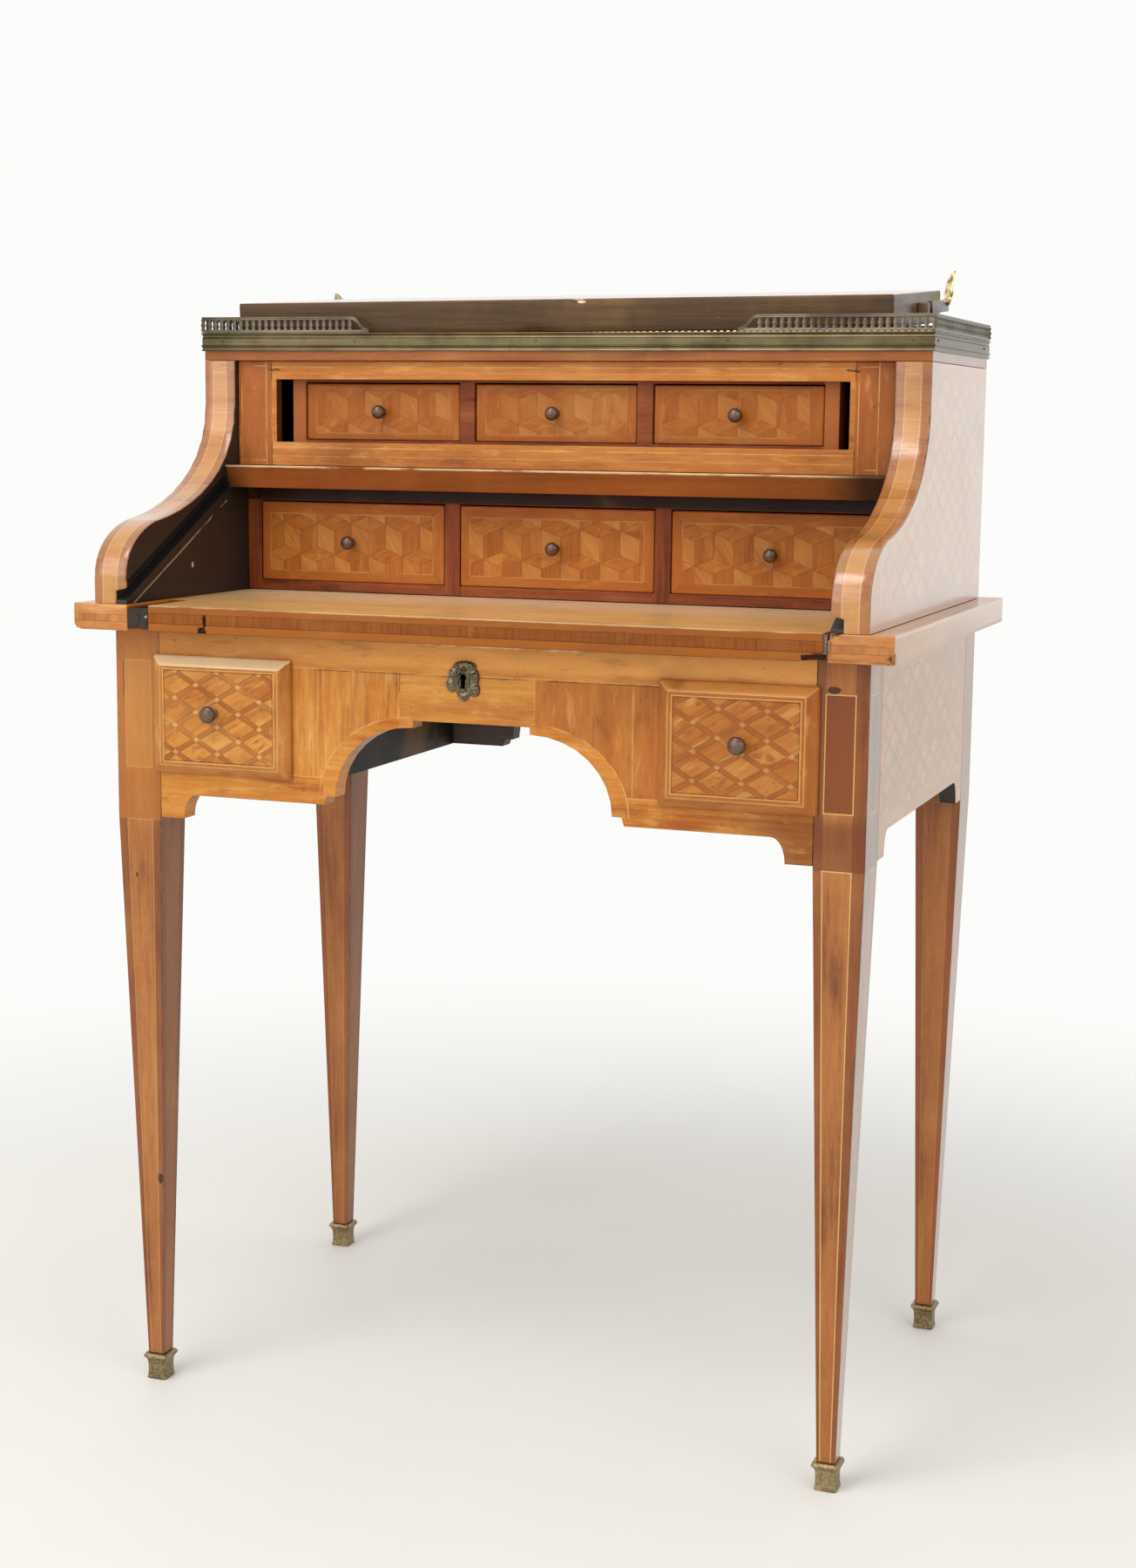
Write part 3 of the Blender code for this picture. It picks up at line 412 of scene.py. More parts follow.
def aged(f, amount=1.0):
    """Years of handling: broad cloudy stains, darker and lighter, and a few small dark specks."""
    cloud = f.lumps(7.0, 4.0, 0.6)
    f.lay(f.ramp(cloud, 0.52, 0.72) * (0.30 * amount), GRIME_AND_SHADE)
    f.lay(f.ramp(cloud, 0.48, 0.30) * (0.16 * amount), HONEY[2])
    f.lay(f.patches(0.735, 0.80, 210.0, 1.0) * (0.4 * amount), GRIME_AND_SHADE)


def mottled(f, along, across, amount=1.0):
    """Figure of the veneer: short light and dark flames that run with the grain."""
    flame = f.noise(along * 26.0, across * 110.0, 0.7, 4.0, 0.62)
    f.lay(f.ramp(flame, 0.54, 0.70) * (amount * 0.30), PLUM[0])
    f.lay(f.ramp(flame, 0.46, 0.30) * (amount * 0.34), HONEY[2])


def reflection_patches(f, mask):
    """Painted pale reflection, in cloudy patches, on the polish of the desk's right side."""
    f.lay(mask * (f.x > 0.0) * f.patches(0.25, 0.60, 9.0, 4.0) * 0.20, REFLECTED_GREY)


def varnished(f, coat=VARNISH, rough=0.30, gloss=FRONT_GLOSS, grain=0.5):
    """Old varnish: uneven satin gloss, open in the pores."""
    dull = rough + (f.lumps(26.0, 3.0) - 0.5) * 0.16 + f.pore * (0.2 * grain)
    return f.done(dull, f.pore * -grain, PORE_DEPTH, coat=coat, gloss=gloss)


def board_finish(name, along, tones, coat=VARNISH, rough=0.30, amount=1.0):
    """Plain veneer or solid wood with its grain along one axis."""
    f = Finish(name)
    lines = [f.x, f.y, f.z]
    grain = lines.pop("xyz".index(along))
    timber(f, grain, *lines, tones)
    aged(f, amount)
    return varnished(f, coat, rough)


def apron_finish():
    """Front apron: banded top and bottom, upright panels, a level middle panel and a bordered arch."""
    f = Finish("apron_veneer")
    x, z = f.x, f.z
    front = f.ny < -0.5
    in_panels = f.within(z, LOW_STRING_Z, TOP_STRING_Z)
    beside = (x < PANEL_LINES[1]) | (x > PANEL_LINES[2])
    out = abs(x) > ARCH_X
    oval = f.math("SQRT", f.oval(abs(x), z, (ARCH_X, ARCH_Z), ARCH_BORDER))
    by_arch = (oval < 1.0) & out & (abs(x) < ARCH_END_X) & (z > ARCH_Z - 0.001)
    upright = in_panels & beside & ~by_arch
    along = f.pick(upright, z, x + z * 0.35 * by_arch)
    across = f.pick(upright, x, z + by_arch * 0.4)
    timber(f, along, across, f.y, SATIN)
    f.lay((in_panels & ~beside) * 0.3, HONEY[1])
    # Painted light on the top band against the shade under the slide's overhang, stronger to the right
    top_band = f.ramp(z, TOP_STRING_Z, TOP_STRING_Z + 0.010)
    f.lay(top_band * (f.ramp(x, 0.0, 0.2) * 0.22 + 0.70), SUNLIT)
    f.lay(top_band * f.ramp(x, -0.06, -0.30) * 0.42, EMBER)
    worn = f.ramp(f.noise(x * 210.0, f.y * 10.0, z * 9.0, 4.0, 0.65), 0.50, 0.72)
    left_panel = upright & f.within(x, PANEL_LINES[0], PANEL_LINES[1])
    f.lay(worn * left_panel * 0.42, HONEY[2])
    right_panel = upright & (x > PANEL_LINES[2])
    f.lay(right_panel * 0.45, PLUM[2])
    f.lay(right_panel * 0.20, EMBER)
    # Painted shade in the apron's lower right corner, by the leg's bracket
    corner = f.ramp(x, 0.200, 0.290) * f.ramp(z, 0.604, 0.578)
    f.lay(corner * 0.72, PLUM[0])
    mottled(f, along, across)
    aged(f, 0.8)
    strings = f.near(z, TOP_STRING_Z, STRING_HALF) | (f.near(z, LOW_STRING_Z, STRING_HALF) & ~by_arch)
    for place, share in zip(PANEL_LINES, PANEL_LINE_SHARES):
        strings = strings | (f.near(x, place, STRING_HALF) & in_panels & ~by_arch) * share
    strings = strings | (f.near(oval, 1.0, 0.008) & out & (z > ARCH_Z) & (z < TOP_STRING_Z))
    f.lay(strings * front * f.patches(0.36, 0.52, 60.0, 3.0) * 0.40, BOX_STRING)
    crack = f.near(z, TOP_STRING_Z - 0.0011, CRACK_HALF) * f.patches(0.44, 0.54, 24.0)
    panel_crack = f.near(x, PANEL_LINES[1] + 0.0006, CRACK_HALF) * f.within(z, PANEL_CRACK_Z, TOP_STRING_Z)
    f.lay((crack | panel_crack) * front * 0.7, DARK_LINE)
    chipped = f.patches(0.30, 0.42, 90.0, 3.0) * f.ramp(x, -0.062, -0.045) * f.ramp(x, 0.108, 0.092)
    f.lay(f.ramp(f.uneven(z, 120.0, 0.005), 0.7178, 0.7190) * chipped * 0.95, RAW_WOOD)
    # Painted shade on faces that look down
    f.lay(f.ramp(f.nz, -0.3, -0.8) * 0.55, GRIME_AND_SHADE)
    # Painted shadow on the wood seen through the keyhole
    f.lay(f.ramp(f.oval(x, z, KEYHOLE, KEYHOLE_SHADE), 1.1, 0.9), HOLE_SHADOW)
    f.lay(f.ramp(f.ny, 0.3, 0.8) * 0.75, STAIN[1])
    return varnished(f)


def border(f, field):
    """Mitred border round a field: its middle, and how far a point lies outside it to the side and up."""
    middle = ((field[0] + field[1]) / 2, (field[2] + field[3]) / 2)
    half = ((field[1] - field[0]) / 2, (field[3] - field[2]) / 2)
    return middle, abs(f.x - middle[0]) - half[0], abs(f.z - middle[1]) - half[1]


def trellis(f, across, up, centre):
    """Lozenges between crossing bands: chance and grain of each, and masks of bands, joints and studs."""
    p = (across - centre[0]) / TRELLIS_COLUMN
    q = (up - centre[1]) / TRELLIS_ROW
    a = (p + q) * 0.5 + 0.5
    b = (p - q) * 0.5 + 0.5
    off_a = abs((a + 0.5) % 1.0 - 0.5)
    off_b = abs((b + 0.5) % 1.0 - 0.5)
    nearest_a = f.floor(a + 0.5)
    nearest_b = f.floor(b + 0.5)
    stud_x = abs(p - (nearest_a + nearest_b - 1.0)) * (TRELLIS_COLUMN / TRELLIS_STUD[0])
    stud_z = abs(q - (nearest_a - nearest_b)) * (TRELLIS_ROW / TRELLIS_STUD[1])
    studs = (stud_x + stud_z) < 1.0
    bands = (off_a < TRELLIS_BAND) | (off_b < TRELLIS_BAND)
    joints = f.near(off_a, TRELLIS_BAND, TRELLIS_JOINT) & (off_b > TRELLIS_BAND)
    joints = joints | f.near(off_b, TRELLIS_BAND, TRELLIS_JOINT) & (off_a > TRELLIS_BAND)
    luck = f.chance(f.floor(a), f.floor(b))
    slope = f.pick(off_a < off_b, 1.0, -1.0)
    along = f.pick(bands, across * 0.866 - up * 0.5 * slope, across * 0.86 + up * 0.5 + luck * 0.7)
    side = f.pick(bands, up * 0.866 + across * 0.5 * slope, up * 0.86 - across * 0.5 + luck * 0.3)
    return luck, along, side, (bands, joints, studs)


def inlaid(f, field, parts, shares):
    """Bands, joints and studs of a trellis, each laid on a field by its share."""
    for part, share, tone in zip(parts, shares, (PLUM[1], DARK_LINE, BOX_STRING)):
        f.lay((field & part) * share, tone)


def trellis_front(name, centre, field, deepening):
    """Apron drawer: trellis parquetry inside two strings, with a mitred and bevelled frame."""
    f = Finish(name)
    x, z = f.x, f.z
    front = (f.ny < -0.3) & (f.y < APRON_Y + 0.001)
    _, out_x, out_z = border(f, field)
    outside = f.math("MAXIMUM", out_x, out_z)
    upright = out_x > out_z
    luck, tile_along, tile_across, parts = trellis(f, x, z, centre)
    in_field = (outside < 0.0) & front
    along = f.pick(in_field, tile_along, f.pick(upright, z, x))
    across = f.pick(in_field, tile_across, f.pick(upright, x, z))
    timber(f, along, across, f.y, SATIN)
    fleck = f.ramp(f.noise(along * 90.0, across * 190.0, luck * 9.0, 3.0), 0.56, 0.68)
    lozenge = in_field & ~parts[0]
    f.lay(lozenge * fleck * 0.75, PLUM[1])
    f.lay(lozenge * f.ramp(luck, 0.45, 1.0) * 0.55, HONEY[1])
    f.lay(lozenge * f.ramp(luck, 0.45, 0.0) * 0.45, PLUM[2])
    inlaid(f, in_field, parts, (0.58, 0.40, 0.58))
    frame_tone = (~in_field) & front
    f.lay(frame_tone * 0.36, PLUM[1])
    rightward = f.ramp(x, -0.05, 0.05)
    f.lay(front * rightward * (frame_tone * 0.30 + 0.14), EMBER)
    f.lay((f.strings(outside, (0.0006, 0.0042), (None, 0.8)) & front) * 0.55, BOX_STRING)
    f.lay(f.near(outside, -0.0006, STRING_HALF) * front * 0.6, DARK_LINE)
    f.lay(in_field * deepening, PLUM[1])
    mottled(f, along, across)
    aged(f, 0.8)
    # Top bevels: pale wear with a painted highlight, cream on the left drawer and warmer on the right
    bevel = f.within(f.nz, 0.25, 0.93) * f.patches(0.18, 0.48, 30.0)
    f.lay(bevel * f.ramp(x, 0.05, -0.05) * 0.78, PALE_SHEEN)
    f.lay(bevel * rightward * 0.55, SUNLIT)
    f.lay((f.y > APRON_Y + 0.001) * 0.55, DRAB[1])
    return varnished(f, 0.16, 0.28, 0.18)


def cube_front(name, edge_x, pitch, field, face_y, deepening):
    """Inner drawer: tumbling cubes inside a string, in a mitred band.

    A row of cubes stands on a zigzag whose low points are the front edges; above its side faces lies a row
    of lozenge tops, and the next row starts half a cube further on.
    """
    f = Finish(name)
    x, z = f.x, f.z
    behind_y = face_y + 0.0015
    front = (f.ny < -0.5) & (f.y < behind_y)
    middle, out_x, out_z = border(f, field)
    outside = f.math("MAXIMUM", out_x, out_z)
    upright = out_x > out_z
    in_field = (outside < 0.0) & front
    foot = middle[1] - CUBE_EDGE / 2
    zigzag = 2 * CUBE_RISE / pitch
    even = (x - edge_x + pitch / 2) % pitch - pitch / 2
    odd = (x - edge_x) % pitch - pitch / 2
    even_up = (z - foot - abs(even) * zigzag) % (2 * CUBE_ROW)
    odd_up = (z - foot - CUBE_ROW - abs(odd) * zigzag) % (2 * CUBE_ROW)
    even_side = even_up < CUBE_EDGE
    side = even_side | (odd_up < CUBE_EDGE)
    place = f.pick(even_side, even, odd)
    right = side & (place > 0.0)
    left = side & (place < 0.0)
    count = f.floor((x - edge_x) / (pitch / 2)) + side * 0.37
    luck = f.chance(count, f.floor((z - foot) / CUBE_ROW))
    run = f.pick(left, 0.55, 0.85)
    tilt = f.pick(left, -0.83, 0.53)
    along = f.pick(right, z, x * run + z * tilt)
    across = f.pick(right, x, z * run - x * tilt)
    along = f.pick(in_field, along + luck * 0.9, f.pick(upright, z, x))
    across = f.pick(in_field, across + luck * 0.4, f.pick(upright, x, z))
    timber(f, along, across, f.y, SATIN)
    stripes = f.ramp(f.noise(along * 30.0, across * 520.0, luck * 5.0, 2.0), 0.50, 0.66)
    f.lay(in_field * stripes * 0.34, PLUM[1])
    f.lay(in_field * right * (0.22 + luck * 0.32), PLUM[1])
    f.lay(in_field * left * (0.06 + luck * 0.26), HONEY[2])
    f.lay((in_field & ~side) * (0.05 + luck * 0.40), PLUM[2])
    joint = f.near(place, 0.0, JOINT_HALF) & side
    joint = joint | f.near(even_up, CUBE_EDGE, JOINT_HALF) | f.near(odd_up, CUBE_EDGE, JOINT_HALF)
    joint = joint | f.near(abs(place), pitch / 2, JOINT_HALF) * side
    joint = joint | f.near(even_up, 0.0003, JOINT_HALF) | f.near(odd_up, 0.0003, JOINT_HALF)
    f.lay(joint * in_field * 0.48, DARK_LINE)
    frame_tone = (~in_field) & front
    f.lay(frame_tone * 0.40, PLUM[2])
    f.lay(frame_tone * 0.30, EMBER)
    fading = f.patches(0.32, 0.60, 35.0, 3.0)
    f.lay(f.near(outside, 0.0006, STRING_HALF) * front * fading * 0.55, BOX_STRING)
    f.lay(front * deepening, EMBER)
    mitre = f.near(out_x - out_z, 0.0, 0.0003)
    f.lay(mitre * frame_tone * (outside > 0.0) * 0.5, DARK_LINE)
    mottled(f, along, across, 0.4)
    aged(f, 0.8)
    f.lay((f.y > behind_y) * 0.6, DRAB[1])
    return varnished(f, 0.02, 0.34, 0.16)


def leg_finish(leg, lines, shown, post):
    """Leg: a panel between two strings on the outward faces, tapering with the leg, and a panel on the post.

    Faces that look under the desk are plain and greyer.
    """
    f = Finish(f"{leg}_leg_veneer")
    z = f.z
    back = leg.startswith("back")
    out_x = abs(f.x) - LEG_X
    out_y = f.y - (LEG_BACK_Y if back else LEG_FRONT_Y)
    flank = abs(f.nx) > abs(f.ny)
    taper = (z - ANKLE_Z) / (LEG_TOP_Z - ANKLE_Z)
    half = f.math("MINIMUM", taper * (LEG_HALF - ANKLE_HALF) + ANKLE_HALF, LEG_HALF)
    share = f.pick(flank, out_y, out_x) / half
    timber(f, z, f.pick(flank, f.y, f.x), f.pick(flank, f.x, f.y), RUDDY, 0.8)
    outward = f.pick(flank, f.outward() > 0.0, 1.0 if back else (f.ny < 0.0))
    inlay = f.within(share, lines[0], lines[1])
    leg_part = z < LEG_STRING_Z
    post_part = f.within(z, *POST_STRINGS_Z)
    f.lay((~leg_part) * (0.55 - post * 0.7), SATIN[1])
    f.lay((~leg_part) * (~inlay) * (post * 0.75), PLUM[0])
    f.lay(post_part * inlay * outward * (post * 1.2), POST_PANEL)
    if post < 0.2:
        f.lay((~leg_part) * (~(inlay & post_part)) * 0.22, EMBER)
        f.lay(post_part * inlay * 0.20, HONEY[1])
        crack = f.near(share + (f.noise(z * 60.0, 0.0, 0.0) - 0.5) * 0.10, 0.66, 0.026)
        f.lay(crack * post_part * (f.ny < -0.5) * f.ramp(z, 0.648, 0.664) * 0.7, DARK_LINE)
    # Painted shade low on the post, beside the apron's corner
    f.lay(f.ramp(z, 0.597, 0.580) * (~leg_part) * (post * 0.85), PLUM[0])
    f.lay((~inlay) * leg_part * 0.55, PLUM[0])
    f.lay(back * 0.30, ROSE[2])
    width = STRING_HALF / half
    sides = [~f.ramp(abs(share - line) / width, *LINE_EDGE) for line in lines]
    ends = f.strings(z, (LEG_STRING_Z, *POST_STRINGS_Z))
    strings = (sides[0] | sides[1]) & (leg_part | post_part)
    strings = strings | (ends & f.within(share, lines[0] - 0.04, lines[1] + 0.04))
    f.lay(strings * outward * shown, BOX_STRING)
    f.lay((~outward) * 0.50, INNER_BROWN)
    aged(f, 0.5)
    scuffed = f.ramp(abs(share), 0.90, 1.0) * f.patches(0.47, 0.6, 45.0, 3.0)
    f.lay(scuffed * 0.45, DARK_LINE)
    for knot in KNOTS.get(leg, ()):
        spot = f.ramp(f.uneven(f.oval(f.x, z, knot[:2], knot[2:]), 230.0, 0.7), 1.0, 0.6)
        f.lay(spot * (f.ny < -0.3) * 0.85, GRIME_AND_SHADE)
    polished = flank & outward
    # Painted pale reflection on the right legs' polished side faces
    f.lay(polished * (f.x > 0.0) * 0.25, REFLECTED_GREY)
    return varnished(f, polished * 0.85 + 0.10, 0.28 - polished * 0.10, 0.34, 0.35)


def flank_finish(name, field, centre, groove=False):
    """Side of the desk: faint trellis inside a string border on the outer face, and stained dark within.

    The upper sides' field follows the scroll: its front border recedes with the cube of the height below the
    sweep's top. Inside they carry a slanting groove, whose lower edge is rubbed pale and has a painted
    highlight.
    """
    f = Finish(name)
    y, z = f.y, f.z
    outer = f.outward() > 0.5
    front_edge = y - field[0]
    if groove:
        below = f.math("MAXIMUM", (SWEEP_TOP_Z - z) / SWEEP_TALL, 0.0)
        reach_out = below * below * below * SWEEP_DEEP
        lean = below * below * (3 * SWEEP_DEEP / SWEEP_TALL)
        front_edge = f.math("MAXIMUM", field[0] - reach_out, SWEEP_FRONT_Y)
        front_edge = (y - front_edge) / f.math("SQRT", lean * lean + 1.0)
    inside = (front_edge > 0.0) & (y < field[1]) & f.within(z, field[2], field[3]) & outer
    luck, tile_along, tile_across, parts = trellis(f, y, z, centre)
    timber(f, f.pick(inside, tile_along, y), f.pick(inside, tile_across, z), f.x, SATIN)
    inlaid(f, inside, parts, (0.42, 0.25, 0.12))
    f.lay(inside * (~parts[0]) * (0.05 + luck * 0.30), HONEY[2])
    edge_y = f.math("MINIMUM", abs(front_edge), abs(y - field[1]))
    edge_z = f.math("MINIMUM", abs(z - field[2]), abs(z - field[3]))
    rim = f.math("MINIMUM", edge_y, edge_z) < STRING_HALF
    reach = (front_edge > -0.001) & (y < field[1] + 0.001) & f.within(z, field[2] - 0.001, field[3] + 0.001)
    f.lay(rim * reach * outer * 0.32, BOX_STRING)
    aged(f, 0.9)
    # Painted pale reflection on the right side's outer face
    reflection_patches(f, outer)
    open_joint = f.near(f.uneven(z, 50.0, 0.004), OPEN_JOINT_Z, 0.0009) * f.ramp(y, -0.06, -0.11)
    f.lay(open_joint * outer * 0.8, GRIME_AND_SHADE)
    scratch = f.ramp(f.noise(y * 30.0, f.x, z * 500.0, 2.0), 0.70, 0.76) * f.patches(0.52, 0.62, 16.0)
    f.lay(scratch * outer * 0.5, GRIME_AND_SHADE)
    stain = f.blend(f.ramp(f.noise(y * 22.0, f.x, z * 160.0, 3.0), 0.36, 0.66), STAIN[0], STAIN[1])
    if groove:
        # Pale line along the groove's lower edge: rubbed wear and a painted highlight
        off = (z - GROOVE_FOOT[1]) * GROOVE_WAY[0] - (y - GROOVE_FOOT[0]) * GROOVE_WAY[1]
        rubbed = f.near(f.uneven(off, 70.0, 0.001), -0.0083, 0.0008)
        rubbed = rubbed * f.patches(0.34, 0.52, 38.0, 3.0) * f.within(y, -0.232, -0.05)
        stain = f.blend(rubbed * 0.75, stain, RUBBED_LIT_STAIN)
        chip = f.ramp(f.uneven(f.oval(y, z, GROOVE_CHIP, GROOVE_CHIP_HALF), 400.0), 1.0, 0.7)
        stain = f.blend(chip * 0.7, stain, RAW_WOOD)
    f.lay(~outer, stain)
    f.lay((f.ny > 0.5) * 0.85, DRAB[1])
    sheen = 0.16 if groove else 0.02
    return varnished(f, outer * (1.0 - sheen) + sheen, 0.55 - outer * 0.37, 0.6, 0.12)


def base_finish():
    """Base boards: their front ends have an upright band between two lines; the long sides are plain."""
    f = Finish("base_board_veneer")
    x, y, z = f.x, f.y, f.z
    ends = abs(f.ny) > 0.6
    banded = ends & f.within(z, *BASE_BAND)
    along = f.pick(ends, f.pick(banded, z, x), y)
    across = f.pick(ends, f.pick(banded, x, z), f.pick(abs(f.nz) > 0.6, x, z))
    timber(f, along, across, f.pick(ends, y, 0.3), SATIN)
    lines = f.near(z, BASE_BAND[1], CRACK_HALF) | f.near(z, BASE_BAND[0], CRACK_HALF)
    f.lay(lines * ends * 0.38, DARK_LINE)
    slips = f.chance(f.floor(x / 0.0075 + (f.noise(x * 90.0, 0.0, 0.0) - 0.5)), 5.0)
    f.lay(banded * slips * 0.5, PLUM[1])
    f.lay(ends * (x > 0.0) * 0.16, EMBER)
    mottled(f, along, across)
    aged(f)
    for chip_x, chip_y, chip_z, size in BASE_CHIPS:
        deep = y - chip_y
        rise = z - chip_z
        run = x - chip_x
        far = f.math("SQRT", run * run + deep * deep + rise * rise)
        f.lay(f.ramp(f.uneven(far, 260.0, 0.004), size, size * 0.55) * 0.9, GRIME_AND_SHADE)
    sides = abs(f.nx) > 0.6
    # Painted pale reflection on the right base board's side
    reflection_patches(f, sides)
    return varnished(f, sides * 0.7 + 0.3, 0.24 - sides * 0.06, 0.55)


def slide_finish():
    """Writing slide: honey boards on top, and a front edge with an upright band between two plain strips."""
    f = Finish("slide_veneer")
    x, y, z = f.x, f.y, f.z
    top = f.nz > 0.6
    edge = f.ny < -0.5
    band = edge & f.within(z, *EDGE_BAND)
    slip = f.floor(x / 0.0095 + (f.noise(x * 90.0, 0.0, 0.0) - 0.5) * 1.2)
    luck = f.chance(slip, 3.0)
    along = f.pick(band, z + luck * 0.8, x)
    across = f.pick(band, x, f.pick(top, y, z))
    timber(f, along, across, f.pick(top, z, y), SATIN)
    f.lay(top * 0.64, HONEY[2])
    f.lay(band * (0.66 + luck * 0.22), PLUM[1])
    f.lay((edge & ~band) * 0.80, EMBER)
    f.lay(edge * f.ramp(f.noise(x * 30.0, 0.0, z * 700.0, 3.0), 0.50, 0.70) * 0.40, PLUM[0])
    f.lay(edge * f.ramp(f.noise(x * 6.0, 0.0, z * 60.0, 3.0), 0.45, 0.65) * 0.30, SATIN[1])
    f.lay(edge * 0.58, EDGE_BROWN)
    f.lay((edge & (z > EDGE_BAND[1])) * 0.10, HONEY[1])
    f.lay((edge & (z < EDGE_BAND[0])) * 0.22, SATIN[1])
    f.lay(band * 0.06, UMBER)
    lines = f.near(z, EDGE_BAND[1], CRACK_HALF) * 0.6 | f.near(z, EDGE_BAND[0], CRACK_HALF)
    f.lay(lines * edge * 0.6, DARK_LINE)
    ticks = f.ramp(f.noise(x * 330.0, 0.0, z * 12.0, 2.0), 0.50, 0.66)
    f.lay(band * ticks * 0.24, UMBER)
    rubbed = f.ramp(f.noise(x * 9.0, y * 70.0, z * 10.0, 4.0, 0.6), 0.46, 0.64) * top
    f.lay(rubbed * 0.45, HONEY[2])
    # Painted pale sheen over the top
    f.lay(top * 0.16, PALE_SHEEN)
    dirty = f.ramp(f.noise(x * 7.0, y * 30.0, z, 4.0, 0.65), 0.55, 0.74) * top
    f.lay(dirty * 0.26, PLUM[1])
    # Painted pale light on the top in patches, stronger towards the back
    light_patches = f.ramp(f.noise(x * 8.0, y * 40.0, 0.0, 4.0, 0.6), 0.30, 0.62) * 0.3 + 0.7
    f.lay(f.ramp(y, -0.16, -0.02) * top * light_patches * 0.85, PALE_BACK_LIGHT)
    # Pale top front edge: rubbed wear and a painted highlight
    worn_edge = f.ramp(z, 0.7436, 0.7446) * f.ramp(y, -0.234, -0.2395)
    f.lay(worn_edge * f.patches(0.34, 0.54, 34.0, 3.0) * 0.38, RAW_WOOD)
    mottled(f, along, across, top * 0.70 + 0.20)
    aged(f, 0.6)
    # Painted shadow in the notch's slit and gap, in the lost strip and in the sunk place
    slit = f.near(x, NOTCH[0] + 0.0042, 0.0009) * f.within(z, 0.7250, 0.7385)
    gap_x = abs(x - NOTCH[0] - 0.0008) / 0.0040
    gap_z = (z - 0.7217) / 0.0072
    gap = f.ramp(f.uneven(gap_x + gap_z, 240.0, 0.7), 1.0, 0.75)
    lost = (x > LOST_STRIP[0]) & (z < LOST_STRIP[1])
    sunk = (y > -0.2392) & (z < 0.7395) & (abs(x - NOTCH[0] - 0.002) < 0.007)
    f.lay((slit | gap | lost | sunk) * (y < -0.228) * 0.94, GRIME_AND_SHADE)
    # Painted shade on faces that look down
    f.lay(f.ramp(f.nz, -0.3, -0.8) * 0.6, GRIME_AND_SHADE)
    return varnished(f, top * 0.22 + 0.02, 0.32, 0.16, 0.4)


def frame_finish():
    """Frame before the upper drawers: level rails, redder upright stiles, and strings along both."""
    f = Finish("frame_veneer")
    x, z = f.x, f.z
    front = f.ny < -0.5
    stile = abs(x) > STILE_X
    along = f.pick(stile, z, x)
    across = f.pick(stile, x, z)
    timber(f, along, across, f.y, SATIN)
    f.lay(stile * 0.86, EMBER)
    f.lay(0.42, PLUM[2])
    mottled(f, along, across)
    aged(f)
    strings = f.strings(z, FRAME_STRINGS_Z, FRAME_STRING_SHARES) & ~stile
    for place in STILE_STRINGS_X:
        strings = strings | f.near(x, place, STRING_HALF) & stile
    panels = f.within(x, *STILE_STRINGS_X[:2]) | f.within(x, *STILE_STRINGS_X[2:])
    strings = strings | f.strings(z, STILE_STRINGS_Z) * panels
    f.lay(strings * front * f.patches(0.34, 0.58, 40.0, 3.0) * 0.5, BOX_STRING)
    joint = f.near(abs(x), STILE_X, CRACK_HALF) * f.ramp(abs(z - FRAME_MIDDLE_Z), 0.029, 0.030)
    f.lay(joint * front * 0.75, GRIME_AND_SHADE)
    split_x = abs(abs(x) - 0.284) / 0.008
    split_z = abs(f.uneven(z - 0.9576, 200.0, 0.006)) / 0.0010
    split = f.ramp(f.math("MAXIMUM", split_x, split_z), 1.0, 0.6)
    f.lay(split * front * 0.85, GRIME_AND_SHADE)
    # Painted shade on the faces inside the frame's openings
    reveal_shade = (f.ny > -0.5) & (f.y > FRAME_FACE_Y + 0.0008)
    f.lay(reveal_shade * 0.80, UMBER)
    return varnished(f, 0.04, 0.32, 0.19)


def shelf_finish():
    """Shelf: reddish solid wood, a pale line of wear and painted highlight on its upper front edge, and
    painted shade at its ends.
    """
    f = Finish("shelf_wood")
    timber(f, f.x, f.z, f.y, ROSE)
    f.lay(0.30, PLUM[2])
    f.lay(0.12, HONEY[0])
    # Pale line on the upper front edge: rubbed wear and a painted highlight
    rubbed = f.ramp(f.uneven(f.z, 60.0, 0.0012), *SHELF_RIM_Z) * f.patches(0.26, 0.44, 24.0, 3.0)
    f.lay(rubbed * (f.y < SHELF_FRONT_Y) * 0.85, RAW_WOOD)
    aged(f, 0.7)
    # Painted shade at both ends, beside the scroll sides
    for start, end, share in ((0.262, 0.304, 0.90), (-0.284, -0.322, 0.60)):
        f.lay(f.ramp(f.uneven(f.x, 30.0, 0.02), start, end) * share, GRIME_AND_SHADE)
    return varnished(f, 0.10, 0.30, 0.16)


def nest_finish():
    """Drawer nests: reddish solid wood, upright on the posts, dark in the shade above the lower drawers."""
    f = Finish("nest_wood")
    x, z = f.x, f.z
    end_post = f.within(abs(x), *UPPER_END_POSTS_X) & (z > UPPER_NEST_Z)
    post = f.within(abs(x), *NEST_POSTS_X) | (abs(x) > NEST_END_X) | end_post
    timber(f, f.pick(post, z, x), f.pick(post, x, z), f.y, ROSE)
    f.lay(end_post * 0.75, PLUM[2])
    shade = f.ramp(z, 0.8315, 0.8340) * (z < UPPER_NEST_Z)
    f.lay(shade * 0.93, SHADE_BROWN)
    f.lay(f.ramp(f.y, 0.0, 0.03) * 0.85, STAIN[0])
    aged(f, 0.7)
    return varnished(f, 0.02, 0.42, 0.18)


def top_finish():
    """Top board: plum-coloured edge below the band, polished as the desk's sides are on its short edges."""
    f = Finish("top_wood")
    timber(f, f.x, f.z, f.y, PLUM)
    sides = abs(f.nx) > 0.6
    f.lay((f.ny < -0.5) * 0.25, HONEY[0])
    aged(f)
    return varnished(f, sides * 0.85 + 0.02, 0.30 - sides * 0.12, 0.26)


